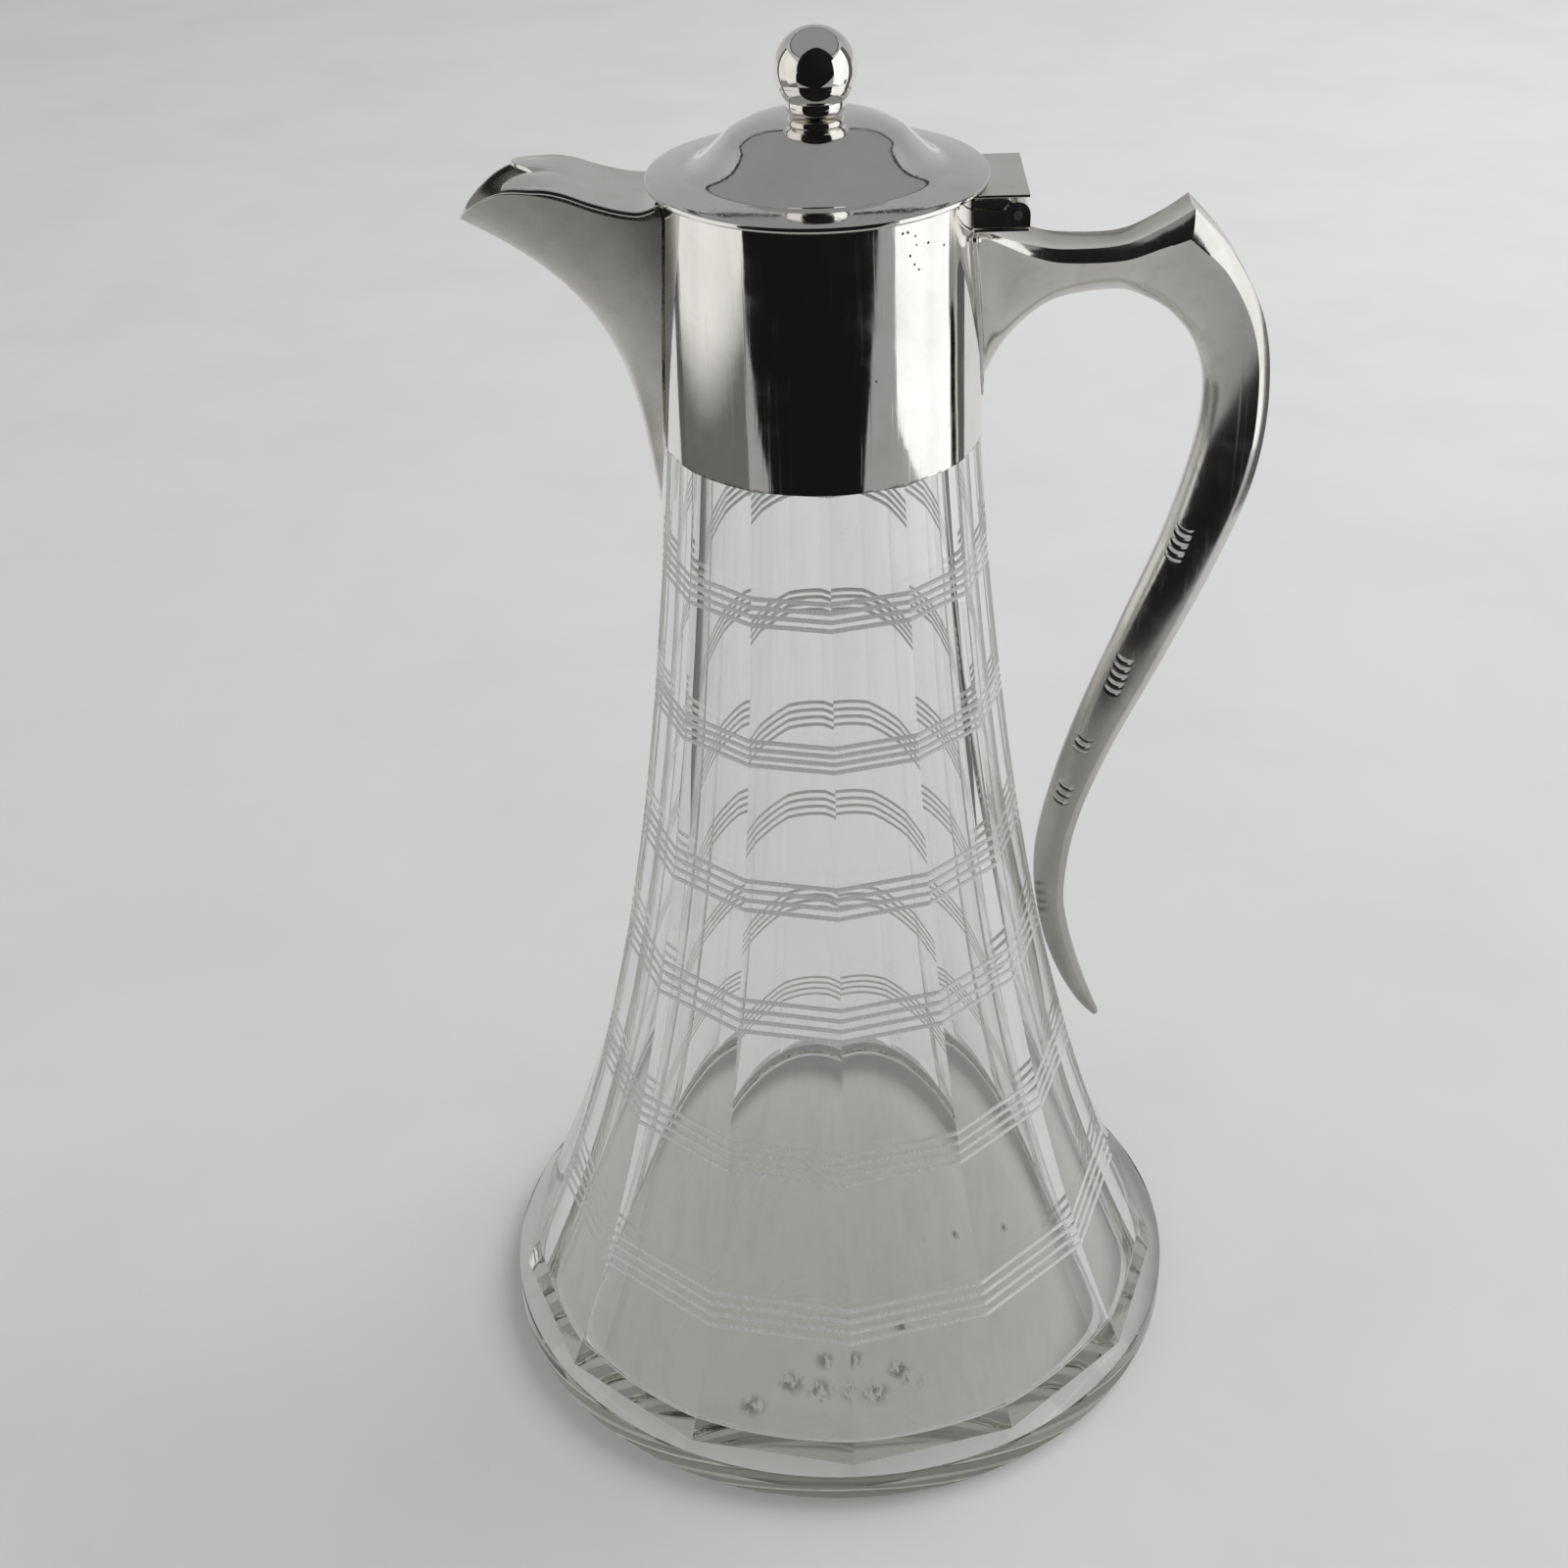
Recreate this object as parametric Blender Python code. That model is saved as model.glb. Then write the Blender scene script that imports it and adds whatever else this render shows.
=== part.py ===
"""Cut-glass claret jug with a silver collar, spout, handle and hinged lid.

Frame: origin at the centre of the foot on the table, +Z up. The spout points to -X, the handle and
the hinge are on +X, and the hinge pin runs along Y. Lengths are in metres.
"""
import bmesh
import bpy
from math import asin, cos, exp, pi, radians, sin, sqrt
from mathutils import Vector

GAP = 0.0003                       # clearance between neighbouring pieces
CLEAR = 0.0040                     # how far a cutting guide passes beyond the piece it cuts

# Glass body
PANELS = 13
STEPS_PER_PANEL = 4
RIDGE_ANGLE = radians(-88.2)       # direction of one ridge between two panels, from +X
FOOT_RADIUS = 0.0700
FOOT_BEVEL = 0.0010
FOOT_HEIGHT = 0.0064
PANEL_BOTTOM = 0.0076
PANEL_TOP = 0.1953
FLARE_NECK = 0.0200                # the vessel's radius falls exponentially towards this
FLARE_REACH = 0.0517
FLARE_HEIGHT = 0.1025
WALL = 0.0040
FLOOR_HEIGHT = 0.0070
FILLET = 0.0018                    # round between the inside wall and the floor
BORE_LEVELS = (0.1900, 0.1650, 0.1400, 0.1150, 0.0900, 0.0680, 0.0480, 0.0300, 0.0180)
NECK_RADIUS = 0.0248
NECK_BORE = 0.0225
MOUTH_HEIGHT = 0.2060
MOUTH_ROUND = 0.0007

# Collar
COLLAR_BOTTOM = 0.1957
COLLAR_TOP = 0.2405
COLLAR_RADIUS_BOTTOM = 0.0279
COLLAR_RADIUS_TOP = 0.0273
SHEET = 0.0009                     # gauge of the silver sheet
OPENING_BOTTOM = 0.2073
OPENING_SHOULDER = 0.2360
OPENING_HALF_WIDTH = 0.0090

# Spout
SPOUT_BOTTOM = 0.1813
SPOUT_TIP = Vector((-0.0598, 0.0, 0.2355))
SPOUT_ROOT_HEIGHT = 0.2378
SPOUT_HALF_WIDTH = 0.0110
BEAK_LENGTH = 0.0059               # how fast the sides open behind the tip
BEAK_POWER = 0.55
KEEL_START = 0.0290                # the keel's distance from the axis at its lowest point
KEEL_LEAN = 0.13
KEEL_SWEEP = 0.02375
KEEL_POWER = 4.2
SEAM_POWER = 0.62
RIM_REACH = 8                      # how closely below the rim its wave fades out
RIM = (                            # x and height of the spout's wavy rim, collar to tip
    (-0.0250, 0.2378), (-0.0300, 0.2377), (-0.0357, 0.2389), (-0.0425, 0.2411), (-0.0475, 0.2418),
    (-0.0517, 0.2416), (-0.0545, 0.2404), (-0.0570, 0.2386), (-0.0587, 0.2370), (-0.0598, 0.2355),
)

# Flap over the spout
FLAP_THICKNESS = 0.0010
FLAP_ROOT = 0.0255
FLAP_DIP = 0.0300                  # where the flap has come down to the rim of the spout
FLAP_STEP = 0.0264                 # where the flap narrows to its tab
FLAP_END = 0.0515
FLAP_NOTCH = 0.0470
FLAP_TAB_HALF_WIDTH = 0.0086

# Lid
LID_RADIUS = 0.0286
LID_TOP = 0.2418
LID_THICKNESS = 0.0010
DOME_HEIGHT = 0.0095
DOME_RADIUS = 0.0220
BEZEL_RADIUS = 0.0252
BEZEL_DEPTH = 0.0019
BEZEL_SHEET = 0.0008
STUD_HOLE = 0.0016
STUD_RADIUS = 0.0012
NUT_HEIGHT = 0.0023
WASHER_THICKNESS = 0.0006
BALL_CENTRE = 0.2585
BALL_RADIUS = 0.0069

# Hinge
HINGE_ROOT = 0.0245                # inner end of the hinge blanks before the collar cuts them
PIN = Vector((0.0324, 0.0, 0.2372))
PIN_RADIUS = 0.0008
PIN_BORE = 0.0009
KNUCKLE_RADIUS = 0.0021
HINGE_HALF_LENGTH = 0.0111
CENTRE_KNUCKLE_HALF = 0.0038
LEAF_BOTTOM = 0.2351
LEAF_LINE = 0.2381                 # top of the fixed leaf
LEAF_EDGE = 0.0294                 # outer edge of the fixed leaf between its knuckles
LEAF_SETBACK = 0.0014              # from the pin back to the top corner of the moving leaf
COVER_TOP = 0.2405
COVER_THICKNESS = 0.0005
PLATE_OVERHANG = 0.0020            # how far the plates reach beyond the pin
BASE_PLATE_TOP = 0.2348
BASE_PLATE_THICKNESS = 0.00045

ROUND_STEPS = 48

# Handle stations from the collar to the thumb peak, and from the peak to the tail:
# inner x, inner z, outer x, outer z, half width, half width of the spine, depth of the
# chamfer beside the spine, fullness of the round towards the inner edge.
HANDLE_TOP = (
    (0.0240, 0.1975, 0.0240, 0.2340, 0.0110, 0.0104, 0.0006, 0.9),
    (0.0278, 0.2044, 0.0278, 0.2332, 0.0089, 0.0081, 0.0008, 0.9),
    (0.0310, 0.2106, 0.0310, 0.2316, 0.0072, 0.0063, 0.0010, 0.9),
    (0.0355, 0.2157, 0.0355, 0.2299, 0.0061, 0.0050, 0.0016, 0.9),
    (0.0410, 0.2190, 0.0410, 0.2289, 0.0057, 0.0045, 0.0020, 0.9),
    (0.0506, 0.2202, 0.0506, 0.2292, 0.0056, 0.0040, 0.0022, 0.9),
    (0.0562, 0.2183, 0.0572, 0.2320, 0.0058, 0.0039, 0.0030, 0.9),
    (0.0595, 0.2163, 0.0623, 0.2352, 0.0062, 0.0042, 0.0045, 0.9),
)
HANDLE_SWEEP = (
    (0.0595, 0.2163, 0.0623, 0.2352, 0.0062, 0.0042, 0.0045, 0.9),
    (0.0634, 0.2118, 0.0696, 0.2268, 0.0061, 0.0036, 0.0030, 0.9),
    (0.0658, 0.2056, 0.0756, 0.2148, 0.0059, 0.0032, 0.0026, 1.0),
    (0.0661, 0.1975, 0.0774, 0.2005, 0.0056, 0.0030, 0.0024, 1.2),
    (0.0644, 0.1875, 0.0758, 0.1850, 0.0053, 0.0029, 0.0022, 1.5),
    (0.0603, 0.1730, 0.0702, 0.1682, 0.0049, 0.0027, 0.0021, 1.8),
    (0.0539, 0.1558, 0.0619, 0.1486, 0.0044, 0.0024, 0.0020, 1.9),
    (0.0460, 0.1336, 0.0528, 0.1280, 0.0039, 0.0021, 0.0018, 1.9),
    (0.0410, 0.1136, 0.0476, 0.1119, 0.0034, 0.0019, 0.0017, 1.9),
    (0.03995, 0.1005, 0.0459, 0.0975, 0.0031, 0.0017, 0.0016, 2.0),
    (0.0419, 0.0872, 0.0470, 0.0879, 0.0029, 0.0016, 0.0014, 2.0),
    (0.0453, 0.0768, 0.0494, 0.0786, 0.0025, 0.0013, 0.0011, 2.0),
    (0.0495, 0.0688, 0.0522, 0.0704, 0.0018, 0.0009, 0.0008, 2.0),
    (0.0533, 0.0643, 0.0542, 0.0654, 0.0007, 0.0003, 0.0003, 2.0),
)
ROUND_POWER = 0.60
THUMB_DISH = 0.0004                # hollow along the top of the handle
HANDLE_STEPS = 4                   # sections per station


# ---------------------------------------------------------------- helpers

def clear_scene():
    """Remove every object of the open scene."""
    for obj in list(bpy.data.objects):
        bpy.data.objects.remove(obj, do_unlink=True)


def principled(name, colour, roughness, metallic, transmission=0.0):
    """Make one material for one piece."""
    material = bpy.data.materials.new(name)
    material.use_nodes = True
    shader = material.node_tree.nodes["Principled BSDF"]
    shader.inputs["Base Color"].default_value = (*colour, 1.0)
    shader.inputs["Roughness"].default_value = roughness
    shader.inputs["Metallic"].default_value = metallic
    shader.inputs["Transmission Weight"].default_value = transmission
    material.diffuse_color = (*colour, 1.0)
    return material


def silver(name, roughness=0.18):
    """Silver plate for one piece."""
    return principled(name, (0.80, 0.79, 0.76), roughness, 1.0)


def finish(bm, name, material, sharp=30.0):
    """Turn a bmesh into a named, smoothly shaded object."""
    bmesh.ops.recalc_face_normals(bm, faces=bm.faces)
    mesh = bpy.data.meshes.new(name)
    bm.to_mesh(mesh)
    bm.free()
    mesh.materials.append(material)
    mesh.shade_smooth()
    mesh.set_sharp_from_angle(angle=radians(sharp))
    obj = bpy.data.objects.new(name, mesh)
    bpy.context.scene.collection.objects.link(obj)
    return obj


def cutter(bm, name):
    """Turn a bmesh into a hidden wire guide for a Boolean."""
    obj = finish(bm, name, principled(name, (0.9, 0.2, 0.1), 0.5, 0.0))
    obj.display_type = "WIRE"
    obj.hide_render = True
    return obj


def boolean(obj, operand, operation="DIFFERENCE"):
    """Add a Boolean modifier to an object."""
    modifier = obj.modifiers.new(operand.name, "BOOLEAN")
    modifier.object = operand
    modifier.operation = operation
    modifier.solver = "EXACT"


def lathe(outline, steps=ROUND_STEPS, closed=True):
    """Spin an outline of (radius, height) points about the Z axis."""
    bm = bmesh.new()
    verts = [bm.verts.new((radius, 0.0, height)) for radius, height in outline]
    edges = [bm.edges.new(pair) for pair in zip(verts, verts[1:])]
    if closed:
        edges.append(bm.edges.new((verts[-1], verts[0])))
    bmesh.ops.spin(bm, geom=verts + edges, cent=(0, 0, 0), axis=(0, 0, 1), angle=2 * pi, steps=steps)
    bmesh.ops.remove_doubles(bm, verts=bm.verts, dist=1e-6)
    return bm


def loft(rings):
    """Skin a row of closed rings with equal point counts, and cap both ends."""
    bm = bmesh.new()
    loops = [[bm.verts.new(point) for point in ring] for ring in rings]
    for low, high in zip(loops, loops[1:]):
        for i in range(len(low)):
            j = (i + 1) % len(low)
            bm.faces.new((low[i], low[j], high[j], high[i]))
    bm.faces.new(list(reversed(loops[0])))
    bm.faces.new(loops[-1])
    return bm


def prism(outline, half_length):
    """Extrude an outline of (x, z) points along Y, centred on the XZ plane."""
    return loft([[(x, y, z) for x, z in outline] for y in (-half_length, half_length)])


def slab(x0, x1, z0, z1, half_length):
    """A block centred on the XZ plane."""
    return prism([(x0, z0), (x1, z0), (x1, z1), (x0, z1)], half_length)


def rod(radius, half_length, steps):
    """A round bar along the hinge axis."""
    return prism(arc(radius, 0.0, 360.0 * (steps - 1) / steps, steps - 1), half_length)


def arc(radius, start, stop, steps):
    """Points of an arc about the hinge pin, in degrees from +X towards +Z."""
    points = []
    for i in range(steps + 1):
        angle = radians(start + (stop - start) * i / steps)
        points.append((PIN.x + radius * cos(angle), PIN.z + radius * sin(angle)))
    return points


def spline(stations, steps):
    """Smooth rows of values through every station (Catmull-Rom)."""
    rows = []
    last = len(stations) - 1
    for i in range(last):
        before = stations[max(i - 1, 0)]
        after = stations[min(i + 2, last)]
        for step in range(steps):
            columns = zip(before, stations[i], stations[i + 1], after)
            rows.append(tuple(catmull(*values, step / steps) for values in columns))
    rows.append(tuple(stations[-1]))
    return rows


def catmull(a, b, c, d, t):
    """One value of a Catmull-Rom curve between b and c."""
    return 0.5 * (2 * b + (c - a) * t + (2 * a - 5 * b + 4 * c - d) * t * t + (3 * b - a - 3 * c + d) * t ** 3)


def along(points, x):
    """Height of a smooth curve through (x, height) points whose x values fall."""
    if x >= points[0][0]:
        return points[0][1]
    for i in range(len(points) - 1):
        if x >= points[i + 1][0]:
            t = (points[i][0] - x) / (points[i][0] - points[i + 1][0])
            before = points[max(i - 1, 0)][1]
            after = points[min(i + 2, len(points) - 1)][1]
            return catmull(before, points[i][1], points[i + 1][1], after, t)
    return points[-1][1]


# ---------------------------------------------------------------- glass

def ridge_radius(z):
    """Radius of the ridges between the cut panels."""
    return FLARE_NECK + FLARE_REACH * exp(-z / FLARE_HEIGHT)


def bore_radius(z):
    """Radius of the smooth inside of the vessel."""
    return max(ridge_radius(z) * cos(pi / PANELS) - WALL, NECK_BORE)


def round_ring(radius, z):
    """A round ring with a point on every ridge."""
    count = PANELS * STEPS_PER_PANEL
    angles = [RIDGE_ANGLE + 2 * pi * i / count for i in range(count)]
    return [(radius * cos(a), radius * sin(a), z) for a in angles]


def panel_ring(z):
    """A thirteen-sided ring with flat sides."""
    flat = ridge_radius(z) * cos(pi / PANELS)
    pitch = 2 * pi / PANELS
    ring = []
    for i in range(PANELS * STEPS_PER_PANEL):
        angle = pitch * i / STEPS_PER_PANEL
        radius = flat / cos(angle % pitch - pitch / 2)
        ring.append((radius * cos(RIDGE_ANGLE + angle), radius * sin(RIDGE_ANGLE + angle), z))
    return ring


def make_glass():
    """The cut vessel: foot band, thirteen panels, stepped neck and smooth inside."""
    rings = [round_ring(FOOT_RADIUS - FOOT_BEVEL, 0.0), round_ring(FOOT_RADIUS, FOOT_BEVEL)]
    rings.append(round_ring(FOOT_RADIUS, FOOT_HEIGHT))
    levels = 12
    for i in range(levels + 1):
        rings.append(panel_ring(PANEL_BOTTOM + (PANEL_TOP - PANEL_BOTTOM) * (i / levels) ** 1.25))
    rings.append(round_ring(NECK_RADIUS, PANEL_TOP))
    rings.append(round_ring(NECK_RADIUS, MOUTH_HEIGHT - MOUTH_ROUND))
    rings.append(round_ring(NECK_RADIUS - MOUTH_ROUND, MOUTH_HEIGHT))
    rings.append(round_ring(NECK_BORE + MOUTH_ROUND, MOUTH_HEIGHT))
    rings.append(round_ring(NECK_BORE, MOUTH_HEIGHT - MOUTH_ROUND))
    rings += [round_ring(bore_radius(z), z) for z in BORE_LEVELS]
    corner = bore_radius(FLOOR_HEIGHT + FILLET)
    for degrees in (0, 30, 60, 90):
        turn = radians(degrees)
        z = FLOOR_HEIGHT + FILLET * (1 - sin(turn))
        rings.append(round_ring(corner - FILLET * (1 - cos(turn)), z))
    glass = principled("cut_glass", (0.93, 0.95, 0.94), 0.02, 0.0, 1.0)
    return finish(loft(rings), "glass_body", glass, sharp=12.0)


def make_bedding():
    """Plaster ring between the glass neck and the collar."""
    inner = NECK_RADIUS + GAP
    outer = COLLAR_RADIUS_BOTTOM - SHEET - 2 * GAP
    bottom = COLLAR_BOTTOM + GAP
    top = MOUTH_HEIGHT - 0.0015
    outline = [(inner, bottom), (outer, bottom), (outer, top), (inner, top)]
    return finish(lathe(outline), "neck_bedding", principled("plaster", (0.78, 0.76, 0.70), 0.9, 0.0))


# ---------------------------------------------------------------- collar and spout

def collar_radius(z):
    """Outer radius of the slightly tapered collar."""
    share = (z - COLLAR_BOTTOM) / (COLLAR_TOP - COLLAR_BOTTOM)
    return COLLAR_RADIUS_BOTTOM + (COLLAR_RADIUS_TOP - COLLAR_RADIUS_BOTTOM) * share


def make_collar():
    """Tapered silver band with an opening into the spout."""
    outline = [
        (collar_radius(COLLAR_BOTTOM) - SHEET, COLLAR_BOTTOM),
        (collar_radius(COLLAR_BOTTOM), COLLAR_BOTTOM),
        (collar_radius(COLLAR_TOP), COLLAR_TOP),
        (collar_radius(COLLAR_TOP) - SHEET, COLLAR_TOP),
    ]
    collar = finish(lathe(outline), "collar", silver("silver_collar"))
    arch = [
        (OPENING_HALF_WIDTH / 2, OPENING_BOTTOM),
        (OPENING_HALF_WIDTH, OPENING_SHOULDER),
        (OPENING_HALF_WIDTH, COLLAR_TOP + CLEAR),
    ]
    section = arch + [(-y, z) for y, z in reversed(arch)]
    ends = (-COLLAR_RADIUS_BOTTOM - CLEAR, 2 * CLEAR - COLLAR_RADIUS_BOTTOM)
    boolean(collar, cutter(loft([[(x, y, z) for y, z in section] for x in ends]), "opening_cutter"))
    return collar


def keel_distance(z):
    """Distance of the spout's keel from the jug's axis."""
    height = SPOUT_TIP.z - SPOUT_BOTTOM
    sweep = KEEL_SWEEP * (max(z - SPOUT_BOTTOM, 0.0) / height) ** KEEL_POWER
    return KEEL_START + KEEL_LEAN * (z - SPOUT_BOTTOM) + sweep


def seat_radius(z):
    """Radius of the surface that the spout's back edge sits against."""
    if z > COLLAR_BOTTOM:
        return collar_radius(z) + GAP
    return ridge_radius(z) + GAP


def seam_half_width(z):
    """Half width of the spout where it meets the collar."""
    share = max(z - SPOUT_BOTTOM, 0.0) / (SPOUT_ROOT_HEIGHT - SPOUT_BOTTOM)
    return SPOUT_HALF_WIDTH * share ** SEAM_POWER


def beak_opening(distance):
    """Share of its full width that the spout has at a distance behind its tip."""
    return 1 - exp(-(max(distance, 1e-9) / BEAK_LENGTH) ** BEAK_POWER)


def beak_width(half_width, behind_tip, length):
    """Half width of the spout at a distance behind its keel."""
    return half_width * beak_opening(behind_tip) / beak_opening(length)


def spout_plan(share, inset):
    """Seam height, keel height, half width, keel distance and length of one row of the spout."""
    seam_z = SPOUT_BOTTOM + (SPOUT_ROOT_HEIGHT - SPOUT_BOTTOM) * share
    keel_z = SPOUT_BOTTOM + (SPOUT_TIP.z - SPOUT_BOTTOM) * share
    half = max(seam_half_width(seam_z) - inset, 0.0008)
    keel = keel_distance(keel_z) - 1.3 * inset
    return seam_z, keel_z, half, keel, keel - sqrt(seat_radius(seam_z) ** 2 - half ** 2)


def spout_row(share, inset, points=12):
    """One row of the spout's side, from the near seam round the keel to the far seam."""
    seam_z, keel_z, half, keel, length = spout_plan(share, inset)
    rim_seam, rim_keel, _, rim_start, rim_length = spout_plan(1.0, inset)
    near = []
    for i in range(points):
        back = (1 - i / (points - 1)) ** 1.6
        straight = seam_z + (keel_z - seam_z) * (1 - back)
        rim_straight = rim_seam + (rim_keel - rim_seam) * (1 - back)
        wave = along(RIM, back * rim_length - rim_start) - rim_straight
        z = straight + wave * share ** RIM_REACH
        near.append((back * length - keel, -beak_width(half, back * length, length), z))
    return near + [(x, -y, z) for x, y, z in reversed(near[:-1])]


def seat_arc(row):
    """Three points that carry the spout's back along the collar between its seams."""
    x, y, z = row[0]
    radius = sqrt(x * x + y * y)
    arcs = []
    for share in (-1, 0, 1):
        side = share * abs(y)
        arcs.append((-sqrt(radius ** 2 - side ** 2), side, z))
    return arcs


def make_spout():
    """Silver beak: solid tail below, open channel above, one closed skin."""
    tail_shares = [0.03, 0.10, 0.20, 0.32, 0.42]
    channel_shares = [0.42, 0.52, 0.62, 0.71, 0.79, 0.86, 0.91, 0.95, 0.98, 1.0]
    bm = bmesh.new()
    outer = [[bm.verts.new(p) for p in spout_row(share, 0.0)] for share in tail_shares]
    backs = [[bm.verts.new(p) for p in seat_arc(spout_row(share, SHEET))] for share in tail_shares]
    for low, high, low_back, high_back in zip(outer, outer[1:], backs, backs[1:]):
        skin(bm, low, high)
        skin(bm, [low[-1]] + low_back[::-1] + [low[0]], [high[-1]] + high_back[::-1] + [high[0]])
    bm.faces.new(outer[0] + backs[0][::-1])
    walls = [outer[-1]] + [[bm.verts.new(p) for p in spout_row(share, 0.0)] for share in channel_shares[1:]]
    first = spout_row(channel_shares[0], SHEET)
    floor = [backs[-1][0]] + [bm.verts.new(p) for p in first[1:-1]] + [backs[-1][-1]]
    linings = [floor] + [[bm.verts.new(p) for p in spout_row(share, SHEET)] for share in channel_shares[1:]]
    bm.faces.new(floor + [backs[-1][1]])
    for low, high, low_in, high_in in zip(walls, walls[1:], linings, linings[1:]):
        skin(bm, low, high)
        skin(bm, high_in, low_in)
        bm.faces.new((low[0], high[0], high_in[0], low_in[0]))
        bm.faces.new((low[-1], low_in[-1], high_in[-1], high[-1]))
    skin(bm, walls[-1], linings[-1])
    return finish(bm, "spout", silver("silver_spout"))


def skin(bm, low, high):
    """Quads between two open rows of points."""
    for i in range(len(low) - 1):
        bm.faces.new((low[i], low[i + 1], high[i + 1], high[i]))


# ---------------------------------------------------------------- handle

def handle_section(inner_x, inner_z, outer_x, outer_z, half, spine, chamfer, fullness, dish):
    """One closed ring of the handle, in the plane through Y and the two edge points."""
    outer = Vector((outer_x, 0.0, outer_z))
    inner = Vector((inner_x, 0.0, inner_z))
    depth = (outer - inner).length
    bevel = chamfer / depth
    side = [(dish / depth, 0.0), (0.0, spine), (bevel, half)]
    for share in (0.30, 0.56, 0.78, 0.92):
        side.append((bevel + (1 - bevel) * share, half * (1 - share ** fullness) ** ROUND_POWER))
    near = [outer.lerp(inner, u) + Vector((0.0, -v, 0.0)) for u, v in side]
    far = [outer.lerp(inner, u) + Vector((0.0, v, 0.0)) for u, v in reversed(side[1:])]
    return near + [inner] + far


def make_handle():
    """Cast silver handle: webbed root, dished top, thumb peak, bend and flicked tail."""
    top = spline(HANDLE_TOP, HANDLE_STEPS)
    sweep = spline(HANDLE_SWEEP, HANDLE_STEPS)
    rings = [handle_section(*row, THUMB_DISH) for row in top]
    for i, row in enumerate(sweep[1:], 1):
        rings.append(handle_section(*row, THUMB_DISH * (1 - i / len(sweep))))
    handle = finish(loft(rings), "handle", silver("silver_handle"), sharp=28.0)
    boolean(handle, collar_space("handle_seat"))
    return handle


def collar_space(name, margin=GAP):
    """Guide that keeps a piece clear of the collar."""
    low = COLLAR_BOTTOM - CLEAR
    high = COLLAR_TOP + CLEAR
    side = [(collar_radius(low) + margin, low), (collar_radius(high) + margin, high)]
    return cutter(lathe([(0.0, low)] + side + [(0.0, high)], closed=False), name)


# ---------------------------------------------------------------- hinge

def make_base_plate():
    """Thin plate under the hinge."""
    bottom = BASE_PLATE_TOP - BASE_PLATE_THICKNESS
    bm = slab(HINGE_ROOT, PIN.x + PLATE_OVERHANG, bottom, BASE_PLATE_TOP, HINGE_HALF_LENGTH)
    plate = finish(bm, "hinge_base_plate", silver("silver_base_plate"))
    boolean(plate, collar_space("base_plate_seat"))
    return plate


def make_collar_leaf():
    """Fixed leaf with its two end knuckles and the slot for the moving knuckle."""
    outline = [(HINGE_ROOT, LEAF_BOTTOM), (PIN.x + KNUCKLE_RADIUS, LEAF_BOTTOM)]
    outline += arc(KNUCKLE_RADIUS, 0.0, 155.0, 12)
    outline += [(LEAF_EDGE, LEAF_LINE), (HINGE_ROOT, LEAF_LINE)]
    leaf = finish(prism(outline, HINGE_HALF_LENGTH), "hinge_collar_leaf", silver("silver_collar_leaf"))
    slot = slab(LEAF_EDGE, PIN.x + CLEAR, LEAF_BOTTOM - CLEAR, COVER_TOP + CLEAR, CENTRE_KNUCKLE_HALF + GAP)
    boolean(leaf, cutter(slot, "knuckle_slot"))
    boolean(leaf, cutter(rod(PIN_BORE, HINGE_HALF_LENGTH + CLEAR, 24), "collar_leaf_bore"))
    boolean(leaf, collar_space("collar_leaf_seat"))
    return leaf


def make_lid_leaf():
    """Moving leaf with its centre knuckle."""
    top = COVER_TOP - COVER_THICKNESS - GAP
    bottom = LEAF_LINE + GAP
    outline = [(HINGE_ROOT, bottom)] + arc(KNUCKLE_RADIUS + GAP, 151.0, 115.0, 6)
    outline += [(PIN.x - LEAF_SETBACK, top), (HINGE_ROOT, top)]
    leaf = finish(prism(outline, HINGE_HALF_LENGTH), "hinge_lid_leaf", silver("silver_lid_leaf"))
    outline = [(LEAF_EDGE + GAP, bottom)] + arc(KNUCKLE_RADIUS, 180.0, 450.0, 18)
    outline += [(PIN.x - PIN_RADIUS, top), (LEAF_EDGE + GAP, top)]
    knuckle = cutter(prism(outline, CENTRE_KNUCKLE_HALF), "centre_knuckle")
    boolean(leaf, knuckle, "UNION")
    boolean(leaf, cutter(rod(PIN_BORE, HINGE_HALF_LENGTH + CLEAR, 24), "lid_leaf_bore"))
    boolean(leaf, collar_space("lid_leaf_seat"))
    return leaf


def make_cover_plate():
    """Flat plate over the knuckles."""
    bottom = COVER_TOP - COVER_THICKNESS
    bm = slab(HINGE_ROOT, PIN.x + PLATE_OVERHANG, bottom, COVER_TOP, HINGE_HALF_LENGTH)
    plate = finish(bm, "hinge_cover_plate", silver("silver_cover_plate"))
    boolean(plate, collar_space("cover_plate_seat"))
    return plate


def make_pin():
    """Hinge pin, just proud of the end knuckles."""
    steel = principled("pin_metal", (0.45, 0.44, 0.42), 0.35, 1.0)
    return finish(rod(PIN_RADIUS, HINGE_HALF_LENGTH + GAP, 24), "hinge_pin", steel)


# ---------------------------------------------------------------- lid

def lid_height(radius):
    """Height of the lid's top: a flat flange that sweeps up into the dome."""
    if radius >= DOME_RADIUS:
        return LID_TOP
    return LID_TOP + DOME_HEIGHT * (1 + cos(pi * (radius / DOME_RADIUS) ** 2)) / 2


def make_lid_plate():
    """Round lid sheet with its dome and the hole for the stud."""
    steps = 11
    radii = [STUD_HOLE + (DOME_RADIUS - STUD_HOLE) * i / steps for i in range(steps + 1)]
    edge = 0.00015
    outline = [(radius, lid_height(radius)) for radius in radii]
    outline += [(LID_RADIUS - edge, LID_TOP), (LID_RADIUS, LID_TOP - edge)]
    outline += [(LID_RADIUS, LID_TOP - LID_THICKNESS + edge), (LID_RADIUS - edge, LID_TOP - LID_THICKNESS)]
    outline += [(radius, lid_height(radius) - LID_THICKNESS) for radius in reversed(radii)]
    return finish(lathe(outline), "lid_plate", silver("silver_lid", 0.12))


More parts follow.
